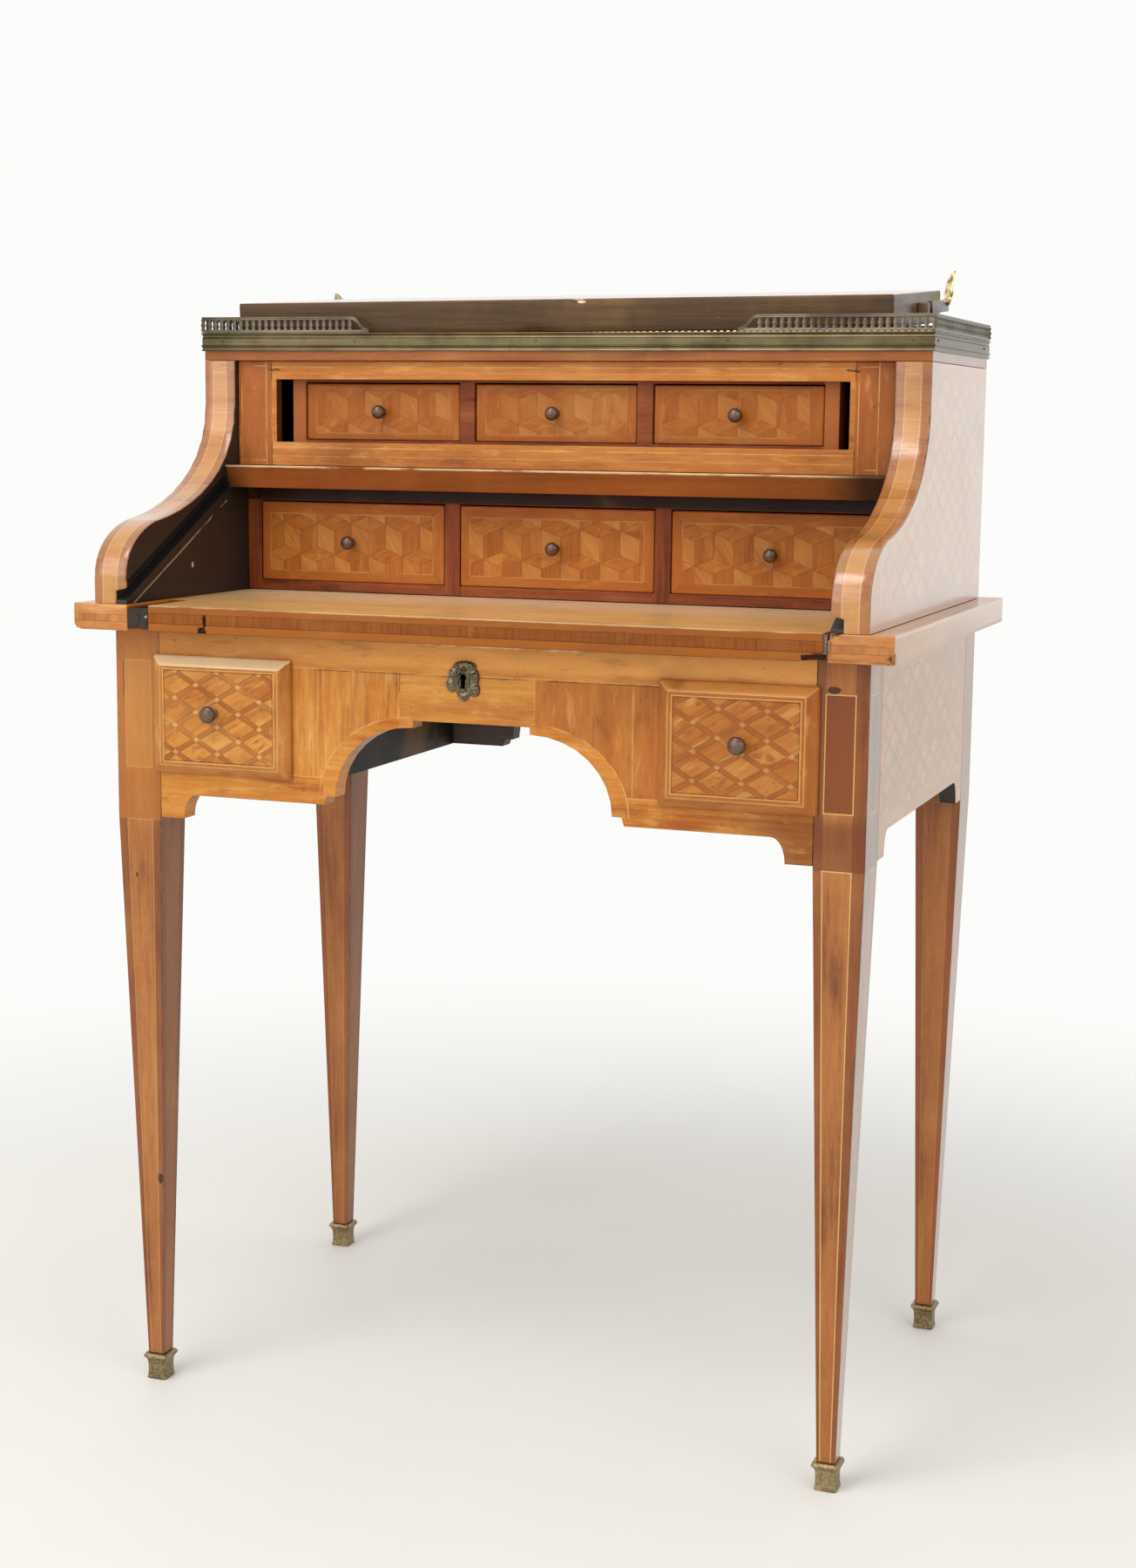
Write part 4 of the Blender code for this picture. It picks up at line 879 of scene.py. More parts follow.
def scroll_finish():
    """Scroll edge: short crosswise slips of veneer along the curve, and two strings that meet at its top.

    The first texture coordinate is the length along the curve, the second the share of the width.
    """
    f = Finish("scroll_edge_veneer")
    run, share, _ = f.split(f.uv)
    slip = f.floor(run / 0.013 + (f.noise(run * 55.0, 0.0, 0.0) - 0.5) * 0.7)
    luck = f.chance(slip, 7.0)
    timber(f, share * 0.0326 + luck * 0.9, run, luck * 3.0, SATIN, 1.2)
    f.lay(0.12 + luck * 0.34, PLUM[1])
    f.lay(f.ramp(luck, 0.80, 0.95) * 0.18, HONEY[2])
    end = f.near(run, SCROLL_STRING_END, STRING_HALF) * f.within(share, 0.27, 0.73)
    sides = (f.near(share, 0.28, 0.016) | f.near(share, 0.72, 0.016)) * (run < SCROLL_STRING_END)
    rims = f.ramp(abs(share - 0.5), 0.225, 0.240)
    f.lay(rims * 0.30, PLUM[0])
    f.lay((~rims) * 0.22, HONEY[2])
    f.lay((end | sides) * 0.45, BOX_STRING)
    hairs = f.ramp(f.noise(share * 2.0, run * 1600.0, 0.0, 2.0), 0.52, 0.68)
    f.lay(hairs * 0.35, PLUM[0])
    aged(f, 0.6)
    return varnished(f, 0.95, 0.22, 0.50)


def lid_finish():
    """Lid: dark olive-brown front edge, pale greyed ends, and a worn trellis face inside a border."""
    f = Finish("lid_veneer")
    x, y, z = f.x, f.y, f.z
    edge = f.ny < -0.5
    ends = abs(f.nx) > 0.6
    top = f.nz > 0.6
    luck, tile_along, tile_across, parts = trellis(f, x, y, (0.0, 0.09))
    inside = f.within(x, *LID_FACE[:2]) & f.within(y, *LID_FACE[2:]) & top
    along = f.pick(inside, tile_along, f.pick(ends, y, x))
    across = f.pick(inside, tile_across, f.pick(top, y, z))
    timber(f, along, across, f.pick(top, z, y), SATIN)
    inlaid(f, inside, parts, (0.6, 0.35, 0.7))
    f.lay(inside * (~parts[0]) * (luck * 0.4), HONEY[1])
    edge_colour = f.blend(f.ramp(f.noise(x * 9.0, y * 9.0, z * 300.0, 3.0), 0.30, 0.72), *LID_EDGE)
    edge_colour = f.blend(f.patches(0.70, 0.78, 190.0) * 0.5, edge_colour, LID_SPECK)
    f.lay(edge * 0.94, edge_colour)
    chip = f.ramp(f.uneven(f.oval(x, z, LID_CHIP, LID_CHIP_HALF), 300.0, 0.8), 1.0, 0.7) * (f.ny < 0.2)
    f.lay(chip * 0.9, RAW_WOOD)
    end_colour = f.blend(f.ramp(f.noise(x * 20.0, y * 16.0, z * 240.0, 3.0), 0.36, 0.64), *LID_END)
    end_colour = f.blend(f.ramp(f.oval(y, z, LID_PEG, LID_PEG_SHADE), 1.25, 0.75) * 0.85, end_colour, GRIME_AND_SHADE)
    f.lay(ends * 0.92, end_colour)
    f.lay((f.nz < -0.6) * 0.5, DRAB[1])
    aged(f, 0.7)
    return varnished(f, top * 0.95 + 0.05, 0.34 - top * 0.14, 0.28)


def brass_finish(name, tone, pale, rough=0.36, patina=1.0, drawn=0.0):
    """Old brass: a brown-green patina in soft clouds and pits, brighter where it is rubbed.

    Drawn strips have level hairlines instead of pits.
    """
    f = Finish(name)
    cloud = f.lumps(18.0, 4.0, 0.6)
    fine = f.lumps(420.0, 3.0)
    hair = f.noise(f.x * 14.0, f.y * 14.0, f.z * 1500.0, 2.0)
    grain = f.pick(drawn, hair, fine)
    share = 0.5 - 0.25 * drawn
    f.colour = f.blend(f.ramp(cloud * (1.0 - share) + grain * share, 0.34, 0.66), tone, pale)
    pits = f.patches(0.62, 0.74, 700.0) * (1.0 - drawn)
    f.lay(pits * (0.5 * patina), PIT_BROWN)
    f.lay(f.patches(0.56, 0.74, 60.0, 3.0) * (0.20 * patina), VERDIGRIS)
    f.lay(f.patches(0.62, 0.76, 110.0, 3.0) * (0.35 * patina), BRASS_SOOT)
    dull = rough + (cloud - 0.5) * 0.22 + pits * 0.15
    return f.done(dull, grain * (0.4 - 0.2 * drawn) - pits * 0.6, CAST_DEPTH, metal=0.85)


def leaf_finish():
    """Lid bracket: grey iron strap below, and above it a leaf of worn gilt with brown hollows."""
    f = Finish("leaf_gilt")
    cloud = f.lumps(150.0, 3.0)
    gilt = f.blend(f.ramp(cloud, 0.34, 0.56), *GILT)
    gilt = f.blend(f.patches(0.58, 0.70, 520.0) * 0.4, gilt, GILT_HOLLOW)
    gilt = f.blend(f.ramp(f.x, -0.2, -0.3) * 0.6, gilt, GILT_DULL)
    f.colour = f.blend(f.patches(0.36, 0.64, 90.0, 3.0), *STRAP_IRON)
    f.lay(f.ramp(f.z, STRAP_TOP_Z, STRAP_TOP_Z + 0.0015), gilt)
    return f.done(0.36 + (cloud - 0.5) * 0.3, cloud, metal=0.7)


def iron_finish(name, tone, worn):
    """Dark bronzed metal, brown-grey, rubbed paler on its crown, where a painted highlight lies as well."""
    f = Finish(name)
    cloud = f.lumps(160.0, 3.0)
    f.colour = tone
    # Paler on faces that look to the front: rubbed wear and a painted highlight
    f.lay(f.ramp(f.ny, -0.55, -0.95) * f.ramp(cloud, 0.35, 0.6) * worn, RUBBED_LIT_BRONZE)
    f.lay(f.ramp(cloud, 0.52, 0.7) * 0.5, BRONZE_HOLLOW)
    return f.done(0.36 + (cloud - 0.5) * 0.3, f.lumps(900.0), CAST_DEPTH, metal=0.55)


# Mesh kit: points closer than MERGE are one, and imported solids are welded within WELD
MERGE, WELD = 0.000002, 0.00001
SIDES = {"left": -1, "right": 1}


def weave(points, ring=False, capped=False, looped=False):
    """Four-sided faces on a grid of points, rows by columns.

    ring joins the last column to the first, looped the last row to the first, and capped closes both ends.
    """
    rows, columns = points.shape[:2]
    index = np.arange(rows * columns).reshape(rows, columns)
    caps = [index[0].tolist(), index[-1].tolist()] if capped else []
    if ring:
        index = np.concatenate([index, index[:, :1]], axis=1)
    if looped:
        index = np.concatenate([index, index[:1]], axis=0)
    quads = np.stack([index[:-1, :-1], index[:-1, 1:], index[1:, 1:], index[1:, :-1]], axis=-1)
    return points.reshape(-1, 3), quads.reshape(-1, 4).tolist() + caps


def repeated(points, ring=True):
    """The same grid many times: copies by rows by columns of points, each closed at both ends."""
    copies, rows, columns = points.shape[:3]
    one, faces = weave(points[0], ring, capped=True)
    quads = np.array([face for face in faces if len(face) == 4])
    caps = np.array([face for face in faces if len(face) != 4])
    shift = (np.arange(copies) * len(one)).reshape(-1, 1, 1)
    many = (quads[None] + shift).reshape(-1, 4).tolist()
    ends = (caps[None] + shift).reshape(-1, caps.shape[1]).tolist()
    return points.reshape(-1, 3), many + ends


def piece(name, shells, finish, body, stands_for=(), crease=38, uv=None):
    """Join shells of points and faces into one object, faces outward, riding on a body."""
    points, faces, start = [], [], 0
    for shell_points, shell_faces in shells:
        points.append(shell_points)
        faces += [[start + corner for corner in face] for face in shell_faces]
        start += len(shell_points)
    mesh = bpy.data.meshes.new(name)
    mesh.from_pydata(np.concatenate(points).tolist(), [], faces)
    if uv is not None:
        layer = mesh.uv_layers.new(name="length_and_width")
        corners = np.zeros(len(mesh.loops), dtype=np.int32)
        mesh.loops.foreach_get("vertex_index", corners)
        layer.data.foreach_set("uv", uv[corners].astype(np.float32).ravel())
    shape = bmesh.new()
    shape.from_mesh(mesh)
    bmesh.ops.remove_doubles(shape, verts=shape.verts, dist=MERGE)
    bmesh.ops.recalc_face_normals(shape, faces=shape.faces)
    shape.to_mesh(mesh)
    shape.free()
    mesh.polygons.foreach_set("use_smooth", np.ones(len(mesh.polygons), dtype=bool))
    mesh.set_sharp_from_angle(angle=math.radians(crease))
    mesh.materials.append(finish)
    made = bpy.data.objects.new(name, mesh)
    bpy.context.scene.collection.objects.link(made)
    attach(made, body)
    if stands_for:
        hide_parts(*stands_for)
    return made


def soften(node, finish, width=0.0007, segments=2, turn=32):
    """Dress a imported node: its own finish, and edges that turn by more than an angle rounded by use."""
    made = nodes[node]
    made.data.materials.clear()
    made.data.materials.append(finish)
    weld = made.modifiers.new("weld", "WELD")
    weld.merge_threshold = WELD
    flat = made.modifiers.new("flat", "DECIMATE")
    flat.decimate_type = "DISSOLVE"
    flat.angle_limit = math.radians(0.5)
    edge = made.modifiers.new("edge", "BEVEL")
    edge.width = width
    edge.segments = segments
    edge.limit_method = "ANGLE"
    edge.angle_limit = math.radians(turn)
    edge.harden_normals = True


def rounded_loop(width, height, radius, spacing):
    """Points round a rectangle with rounded corners, anticlockwise, about one spacing apart."""
    loop = []
    corners = ((1, 1), (-1, 1), (-1, -1), (1, -1))
    headings = np.array(((-1, 0), (0, -1), (1, 0), (0, 1)))
    angles = np.radians(np.linspace(0, 90, 4))
    lengths = (width - 2 * radius, height - 2 * radius)
    for number, ((sign_x, sign_y), away) in enumerate(zip(corners, headings)):
        centre = np.array((sign_x * lengths[0] / 2, sign_y * lengths[1] / 2))
        swing = angles + math.radians(90 * number)
        arc = centre + radius * np.stack([np.cos(swing), np.sin(swing)], axis=-1)
        side = lengths[number % 2]
        steps = max(1, int(side / spacing))
        straight = arc[-1] + away * (np.arange(1, steps) / steps * side)[:, None]
        loop += [arc, straight]
    return np.concatenate(loop)


def dented(points, dents):
    """Push points in near each dent: full inside about half its ellipsoid, none outside."""
    for centre, radii, push in dents:
        off = (points - np.array(centre)) / np.array(radii)
        weight = np.clip((1 - (off**2).sum(axis=-1)) * 3.0, 0, 1)
        points = points + weight[..., None] * np.array(push)
    return points


def plank(low, high, axis, radius, spacing, dents=()):
    """A board with rounded edges: a rounded rectangle carried along one axis, drawn in at both ends."""
    low, high = np.array(low), np.array(high)
    size = high - low
    centre = (low + high) / 2
    first, second = [(1, 2), (2, 0), (0, 1)][axis]
    loop = rounded_loop(size[first], size[second], radius, spacing)
    steps = max(2, int(size[axis] / spacing))
    inner = np.linspace(radius, size[axis] - radius, steps)
    turn = np.radians((90, 60, 30))
    ends = radius * (1 - np.sin(turn[::-1]))[::-1]
    insets = radius * (1 - np.cos(turn))
    stations = np.concatenate([ends, inner, size[axis] - ends[::-1]])
    shrink = np.concatenate([insets, np.zeros(steps), insets[::-1]])
    span = np.array((size[first], size[second]))
    scale = 1 - 2 * shrink[:, None] / span[None]
    points = np.zeros((len(stations), len(loop), 3))
    points[..., axis] = (low[axis] + stations)[:, None]
    points[..., first] = centre[first] + loop[None, :, 0] * scale[:, :1]
    points[..., second] = centre[second] + loop[None, :, 1] * scale[:, 1:]
    return weave(dented(points, dents), ring=True, capped=True)


def turned(profile, centre, columns=32):
    """A turned shape: radius against height, spun round an axis that points to the front."""
    height, radius = np.array(profile).T
    angle = np.linspace(0, 2 * math.pi, columns, endpoint=False)
    points = np.zeros((len(height), columns, 3))
    points[..., 0] = centre[0] + radius[:, None] * np.cos(angle)
    points[..., 1] = centre[1] - height[:, None]
    points[..., 2] = centre[2] + radius[:, None] * np.sin(angle)
    return weave(points, ring=True, capped=True)


# Finishes shared by several pieces
plain_satin = board_finish("satinwood_veneer", "x", SATIN)
nest_wood = nest_finish()
stained_wood = board_finish("stained_wood", "x", SMOKED, 0.05, 0.5, 0.4)
stained_deep = board_finish("stained_wood_deep", "y", STAIN, 0.1, 0.5)
back_wood = board_finish("back_wood", "x", DRAB, 0.1, 0.5, 0.4)
top_wood = top_finish()
peg_wood = board_finish("peg_wood", "x", SMOKED, 0.1, 0.4)
old_brass = brass_finish("old_brass", seen(70, 60, 40), seen(107, 95, 68), 0.26, 0.7, drawn=1.0)
gallery_brass = brass_finish("gallery_brass", seen(66, 59, 49), seen(112, 103, 88), 0.26, 0.6, drawn=1.0)
cast_bronze = brass_finish("cast_bronze", seen(58, 50, 38), seen(138, 125, 98), 0.26)
sabot_brass = brass_finish("sabot_brass", seen(112, 94, 68), seen(172, 154, 116), 0.40)
plate_grey = brass_finish("plate_grey", seen(84, 86, 88), seen(128, 130, 130), 0.40, 0.5)
lug_brass = brass_finish("lug_brass", seen(150, 134, 88), seen(222, 212, 168), 0.34, 0.5)
leaf_gilt = leaf_finish()
knob_bronze = iron_finish("knob_bronze", seen(96, 74, 60), 0.5)
dark_iron = iron_finish("dark_iron", seen(38, 32, 28), 0.12)

# Carcass. A side's field: front, back, low and high, and the middle of one lozenge
LOWER_FIELD, LOWER_LOZENGE = (-0.155, 0.178, 0.585, 0.706), (0.0118, 0.6450)
UPPER_FIELD, UPPER_LOZENGE = (-0.010, 0.206, 0.765, 0.950), (0.098, 0.8575)
soften("front_apron", apron_finish())
soften("back_apron", stained_wood)
lower_flank = flank_finish("lower_flank_veneer", LOWER_FIELD, LOWER_LOZENGE)
upper_flank = flank_finish("upper_flank_veneer", UPPER_FIELD, UPPER_LOZENGE, groove=True)
for word in SIDES:
    soften(f"{word}_side_panel", lower_flank)
    soften(f"{word}_scroll_side", upper_flank, 0.0005)
    soften(f"{word}_partition", stained_deep, 0.0004)
    soften(f"{word}_pocket_floor", stained_deep, 0.0004)

# Legs: the strings' places as shares of the half width, how much they show, and how dark the post is
LEG_STRINGS = {
    "front_left": ((-0.60, 0.585), 0.26, 0.10),
    "front_right": ((-0.64, 0.48), 0.72, 0.82),
    "back_left": ((-0.6, 0.6), 0.14, 0.3),
    "back_right": ((-0.6, 0.6), 0.14, 0.3),
}
for leg, facts in LEG_STRINGS.items():
    soften(f"{leg}_leg", leg_finish(leg, *facts))
soften("back_base_rail", plain_satin)
slide_wood = slide_finish()
soften("writing_slide", slide_wood)
soften("slide_hinge_plate", dark_iron, 0.0004)
soften("shelf", shelf_finish())
soften("back_board", back_wood)
soften("top_board", top_wood)
soften("lower_drawer_nest", nest_wood, 0.0005)
soften("upper_drawer_nest", nest_wood, 0.0005)
soften("upper_front_frame", frame_finish(), 0.0005)
soften("lock_case", dark_iron, 0.0006)
soften("lock_bolt", old_brass, 0.0004)

# Apron drawers: the middle of one lozenge, the field, and how much darker it is
APRON_FIELDS = {
    "left": ((-0.2417, 0.6491), (-0.2957, -0.1857, 0.6038, 0.6868), 0.0),
    "right": ((0.2467, 0.6531), (0.1857, 0.2957, 0.6045, 0.6863), 0.3),
}
for word, facts in APRON_FIELDS.items():
    parquetry = trellis_front(f"apron_{word}_trellis", *facts)
    soften(f"apron_{word}_drawer", parquetry, width=0.0030, segments=5, turn=15)

# Inner drawers: a cube's front edge, the cubes' pitch and the field's ends;
# for each row the field's foot and head, the front's face, and how much darker it is
CUBES = {
    "lower_left": (-0.2291, 0.0362, -0.297, -0.1256),
    "lower_middle": (0.005, 0.039, -0.0865, 0.0865),
    "lower_right": (0.2103, 0.0372, 0.1246, 0.297),
    "upper_left": (-0.1759, 0.0365, -0.2447, -0.1066),
    "upper_middle": (0.0, 0.0368, -0.0690, 0.0690),
    "upper_right": (0.1748, 0.0370, 0.1034, 0.2403),
}
CUBE_ROWS = {"lower": (0.7655, 0.8195, -0.0072, 0.34), "upper": (0.8985, 0.940, -0.0112, 0.58)}
for word, (edge_x, pitch, left, right) in CUBES.items():
    low_z, high_z, face_y, deepening = CUBE_ROWS[word.split("_")[0]]
    cubes = cube_front(f"{word}_cubes", edge_x, pitch, (left, right, low_z, high_z), face_y, deepening)
    soften(f"{word}_drawer", cubes, 0.0006)

# Knobs: shares of the height and of the radius, from the seat to the crown
KNOB_PROFILE = (
    ((0.0, 0.6), (0.03, 0.64), (0.08, 0.62), (0.13, 0.5), (0.2, 0.38), (0.36, 0.36), (0.43, 0.44))
    + ((0.48, 0.7), (0.54, 0.9), (0.62, 0.99), (0.7, 1.0), (0.78, 0.95), (0.85, 0.84), (0.92, 0.62))
    + ((0.97, 0.36), (1.0, 0.06))
)
for node, made in list(nodes.items()):
    if node.endswith("_knob"):
        low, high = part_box(node)
        profile = np.array(KNOB_PROFILE) * (high.y - low.y, (high.x - low.x) / 2)
        seat = ((low.x + high.x) / 2, high.y, (low.z + high.z) / 2)
        body = made["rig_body"]
        piece(f"{node}_turned", [turned(profile, seat)], knob_bronze, body, (node,))

# Slide rail and base boards, with the chips that they have lost. A dent: centre, radii, push
low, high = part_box("slide_front_rail")
bolt_low, bolt_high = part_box("lock_bolt")
bolt_x, bolt_y = (bolt_low.x + bolt_high.x) / 2, (bolt_low.y + bolt_high.y) / 2
rail_dents = (
    ((bolt_x, bolt_y, low.z), (0.0165, 0.0056, 0.0040), (0.0, 0.0, 0.0092)),
    ((NOTCH[0] + 0.0042, low.y, NOTCH[1] + 0.0025), (0.0013, 0.004, 0.0056), (0.0, 0.0030, 0.0)),
    ((NOTCH[0] + 0.0012, low.y, low.z), (0.0044, 0.0045, 0.0058), (0.0006, 0.0040, 0.0010)),
    ((high.x + 0.002, low.y, low.z), (0.0205, 0.02, 0.0068), (0, 0.008, 0.001)),
)
shells = [plank(low, high, 0, 0.0008, 0.0016, rail_dents)]
piece("slide_rail_worn", shells, slide_wood, "slide", ("slide_front_rail",))
base_wood = base_finish()
BASE_DENTS = {
    "left": (((-0.3759, -0.2404, 0.7214), (0.006, 0.006, 0.004), (0.0012, 0.0012, 0.0008)),),
    "right": (
        ((0.3235, -0.2404, 0.745), (0.0068, 0.007, 0.0052), (0.0005, 0.003, -0.0018)),
        ((0.3750, -0.2404, 0.7255), (0.0056, 0.006, 0.0062), (-0.0022, 0.003, 0.0)),
    ),
}
for word, dents in BASE_DENTS.items():
    node = f"{word}_base_board"
    low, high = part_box(node)
    shells = [plank(low, high, 1, 0.0011, 0.0022, dents)]
    piece(f"{node}_worn", shells, base_wood, "carcass", (node,))

# Brass lug at the inner end of the hinge plate
plate_low, plate_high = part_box("slide_hinge_plate")
lug_low = (plate_high.x - 0.0040, plate_low.y - 0.0010, plate_high.z - 0.0088)
lug_high = (plate_high.x - 0.0006, plate_low.y + 0.0010, plate_high.z - 0.0062)
lug_corner = (lug_low[0], plate_low.y, lug_high[2])
lug_dent = (lug_corner, (0.0022, 0.004, 0.0014), (0.0004, 0, -0.0008))
lug_shell = plank(lug_low, lug_high, 2, 0.0006, 0.0008, [lug_dent])
piece("hinge_plate_lug", [lug_shell], lug_brass, "slide")

# Grey plate in the gap at the slide's other end
rail_low, rail_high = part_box("slide_front_rail")
gap_low = (rail_high.x - 0.0002, rail_low.y + 0.0030, rail_low.z + 0.0060)
gap_high = (rail_high.x + 0.0036, rail_low.y + 0.0500, rail_high.z - 0.0014)
end_shell = plank(gap_low, gap_high, 1, 0.0005, 0.002)
piece("slide_end_plate", [end_shell], plate_grey, "slide")


def cubic(start, leave, arrive, end, count):
    """Points of a cubic curve with two handles."""
    t = np.linspace(0, 1, count)[:, None]
    start, leave, arrive, end = (np.array(each) for each in (start, leave, arrive, end))
    return (1 - t) ** 3 * start + 3 * t * (1 - t) ** 2 * leave + 3 * t * t * (1 - t) * arrive + t**3 * end


# Scroll edges: points of the path to the front and up, the edge's sides, and the cut at the groove's foot
SCROLL_FOOT = np.array((-0.2381, 0.7453))
SCROLL_RISE = np.array((-0.2381, 0.7675))
SCROLL_SHOULDER = np.array((-0.1811, 0.8175))
SCROLL_TOP = np.array((-0.0308, SWEEP_TOP_Z))
SCROLL_HEAD = np.array((-0.0308, 0.9653))
SCROLL_INNER, SCROLL_OUTER = 0.3226, 0.3552
GROOVE_CUT = 0.33
GROOVE_CUT_TOP = (0.7568, 0.7592)
EDGE_SHARE = np.array((0.0, 0.008, 0.025, 0.05, 0.27, 0.5, 0.73, 0.95, 0.975, 0.992, 1.0, 0.98, 0.02))
EDGE_LIFT = np.array((-12, -2, 4, 7, 8, 8, 8, 7, 4, -2, -12, -16, -16)) / 10000


def scroll_path():
    """Front edge of a scroll side: up the foot, round the shoulder, along the hollow sweep and up."""
    rounding = SCROLL_SHOULDER - SCROLL_RISE
    sweep = SCROLL_TOP - SCROLL_SHOULDER
    leave = SCROLL_RISE + rounding * (0.0, 0.58)
    arrive = SCROLL_SHOULDER - rounding * (0.48, 0.10)
    shoulder = cubic(SCROLL_RISE, leave, arrive, SCROLL_SHOULDER, 48)
    leave = SCROLL_SHOULDER + sweep * (0.465, 0.084)
    arrive = SCROLL_TOP - sweep * (0.0, 0.605)
    hollow = cubic(SCROLL_SHOULDER, leave, arrive, SCROLL_TOP, 72)
    foot = np.linspace(SCROLL_FOOT, SCROLL_RISE, 24)
    head = np.linspace(SCROLL_TOP, SCROLL_HEAD, 12)
    return np.concatenate([foot, shoulder[1:], hollow[1:], head[1:]])


def scroll_edge(side):
    """A slip of veneer bent over the scroll's front edge: a flat arch of a section carried along the path.

    At the foot its inner side is cut away, where the groove runs out.
    """
    path = scroll_path()
    heading = np.gradient(path, axis=0)
    heading /= np.linalg.norm(heading, axis=1)[:, None]
    outward = np.stack([-heading[:, 1], heading[:, 0]], axis=-1)
    length = np.concatenate([[0], np.cumsum(np.linalg.norm(np.diff(path, axis=0), axis=1))])
    low_z, high_z = GROOVE_CUT_TOP
    cut = GROOVE_CUT * np.clip((high_z - path[:, 1]) / (high_z - low_z), 0, 1)
    share = cut[:, None] + EDGE_SHARE[None] * (1 - cut[:, None])
    points = np.zeros((*share.shape, 3))
    points[..., 0] = side * (SCROLL_INNER + share * (SCROLL_OUTER - SCROLL_INNER))
    points[..., 1:] = path[:, None] + outward[:, None] * EDGE_LIFT[None, :, None]
    uv = np.stack(np.broadcast_arrays(length[:, None], share), axis=-1)
    return weave(points, ring=True, capped=True), uv.reshape(-1, 2)


scroll_wood = scroll_finish()
for word, side in SIDES.items():
    shell, uv = scroll_edge(side)
    piece(f"{word}_scroll_edge", [shell], scroll_wood, "carcass", uv=uv)

# Sabots: height and half width, in millimetres
SABOT_PROFILE = (
    ((0, 9.6), (0.3, 10.0), (1.6, 10.1), (3.0, 9.7), (5.5, 9.4), (9, 9.3), (13, 9.35), (16.5, 9.6))
    + ((19, 10.3), (20.6, 11.4), (21.4, 12.2), (22.0, 12.6), (22.8, 12.7), (23.4, 12.5), (23.9, 12.2))
    + ((24.4, 11.9), (25.0, 11.4), (25.5, 10.6), (25.5, 8.6), (24.4, 8.4))
)
SABOT_Z, SABOT_HALF = np.array(SABOT_PROFILE).T / 1000


def sabot(centre):
    """A cast shoe: a square with rounded corners, its half width against height splayed and rimmed."""
    angle = np.linspace(0, 2 * math.pi, 56, endpoint=False) + math.radians(45)
    power = 9.0
    reach = (abs(np.cos(angle)) ** power + abs(np.sin(angle)) ** power) ** (-1 / power)
    points = np.zeros((len(SABOT_Z), len(angle), 3))
    points[..., 0] = centre[0] + SABOT_HALF[:, None] * reach * np.cos(angle)
    points[..., 1] = centre[1] + SABOT_HALF[:, None] * reach * np.sin(angle)
    points[..., 2] = SABOT_Z[:, None]
    return weave(points, ring=True, capped=True)


for end, leg_y in (("front", LEG_FRONT_Y), ("back", LEG_BACK_Y)):
    for word, side in SIDES.items():
        node = f"{end}_{word}_sabot"
        shells = [sabot((side * LEG_X, leg_y))]
        piece(f"{node}_cast", shells, sabot_brass, "carcass", (node,))

# Brass band: how far its profile stands out, against the drop from its top, in millimetres
BAND_PROFILE = (
    ((0, 0), (1.5, 0), (2.1, 0.25), (2.3, 0.8), (2.1, 1.4), (1.4, 1.8), (0.9, 2.6), (0.9, 3.6), (1.3, 4.3))
    + ((1.45, 4.6), (0.95, 4.9), (1.45, 5.2), (1.45, 8.0), (1.45, 11.3), (2.0, 11.6), (2.4, 12.2))
    + ((2.1, 12.8), (1.5, 13.1), (1.2, 14.2), (1.4, 15.4), (1.9, 16.3), (1.8, 16.9), (0, 16.9))
)
BAND_OUT, BAND_DROP = np.array(BAND_PROFILE).T
BAND_TOP = 0.9915
PIN = ((0.0, 0.0011), (0.0004, 0.001), (0.0007, 0.0007), (0.0009, 0.0002))
PIN_SUNK, PIN_Z = 0.0004, BAND_TOP - 0.0078
FRONT_PINS_X = (-0.335, -0.195, -0.012, 0.171, 0.338)
SIDE_PINS_Y = (-0.018, 0.196)


def band_shell():
    """The band's profile carried round the top board's four corners, mitred."""
    low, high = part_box("top_board")
    out = 0.0002 + BAND_OUT / 1000
    left, right = low.x - out, high.x + out
    front, back = low.y - out, high.y + out
    drop = BAND_TOP - BAND_DROP / 1000
    corners = ((left, front), (right, front), (right, back), (left, back))
    points = np.stack([np.stack([x, y, drop], axis=-1) for x, y in corners])
    return weave(points, ring=True, looped=True)


band_low, band_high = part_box("brass_band")
pins = [turned(PIN, (x, band_low.y + PIN_SUNK, PIN_Z), 12) for x in FRONT_PINS_X]
for side in SIDES.values():
    face = band_high.x - PIN_SUNK
    for pin_y in SIDE_PINS_Y:
        shell, faces = turned(PIN, (0.0, 0.0, 0.0), 12)
        across, deep, up = shell.T
        turned_out = np.stack([side * (face - deep), pin_y + across, PIN_Z + up], axis=-1)
        pins.append((turned_out, faces))
shells = [band_shell(), *pins]
piece("brass_band_drawn", shells, old_brass, "carcass", ("brass_band",), crease=28)

# Gallery
GALLERY_TOP, GALLERY_BOTTOM = 1.0067, 0.9918
RAIL_DEEP = 0.0017
RAIL_MIDDLE = GALLERY_TOP - RAIL_DEEP
SWOOP = 0.020
BAR_PITCH = 0.0068


def rail_section():
    """Two round beads, one above the other: half widths against height, down the front and up the back."""
    height = np.linspace(0.00165, -0.00165, 15)
    upper = np.sqrt(np.clip(0.00105**2 - (height - 0.0006) ** 2, 0, None))
    lower = np.sqrt(np.clip(0.00085**2 - (height + 0.0009) ** 2, 0, None))
    half = np.maximum(np.maximum(upper, lower), 0.0001)
    return np.concatenate([-half, half[::-1]]), np.concatenate([height, height[::-1]])


def laid(along, across, up, axis, place):
    """Points from lengths along a strip, across it and up, for a strip that runs along x or y."""
    across = place + across
    return np.stack([along, across, up] if axis == 0 else [across, along, up], axis=-1)


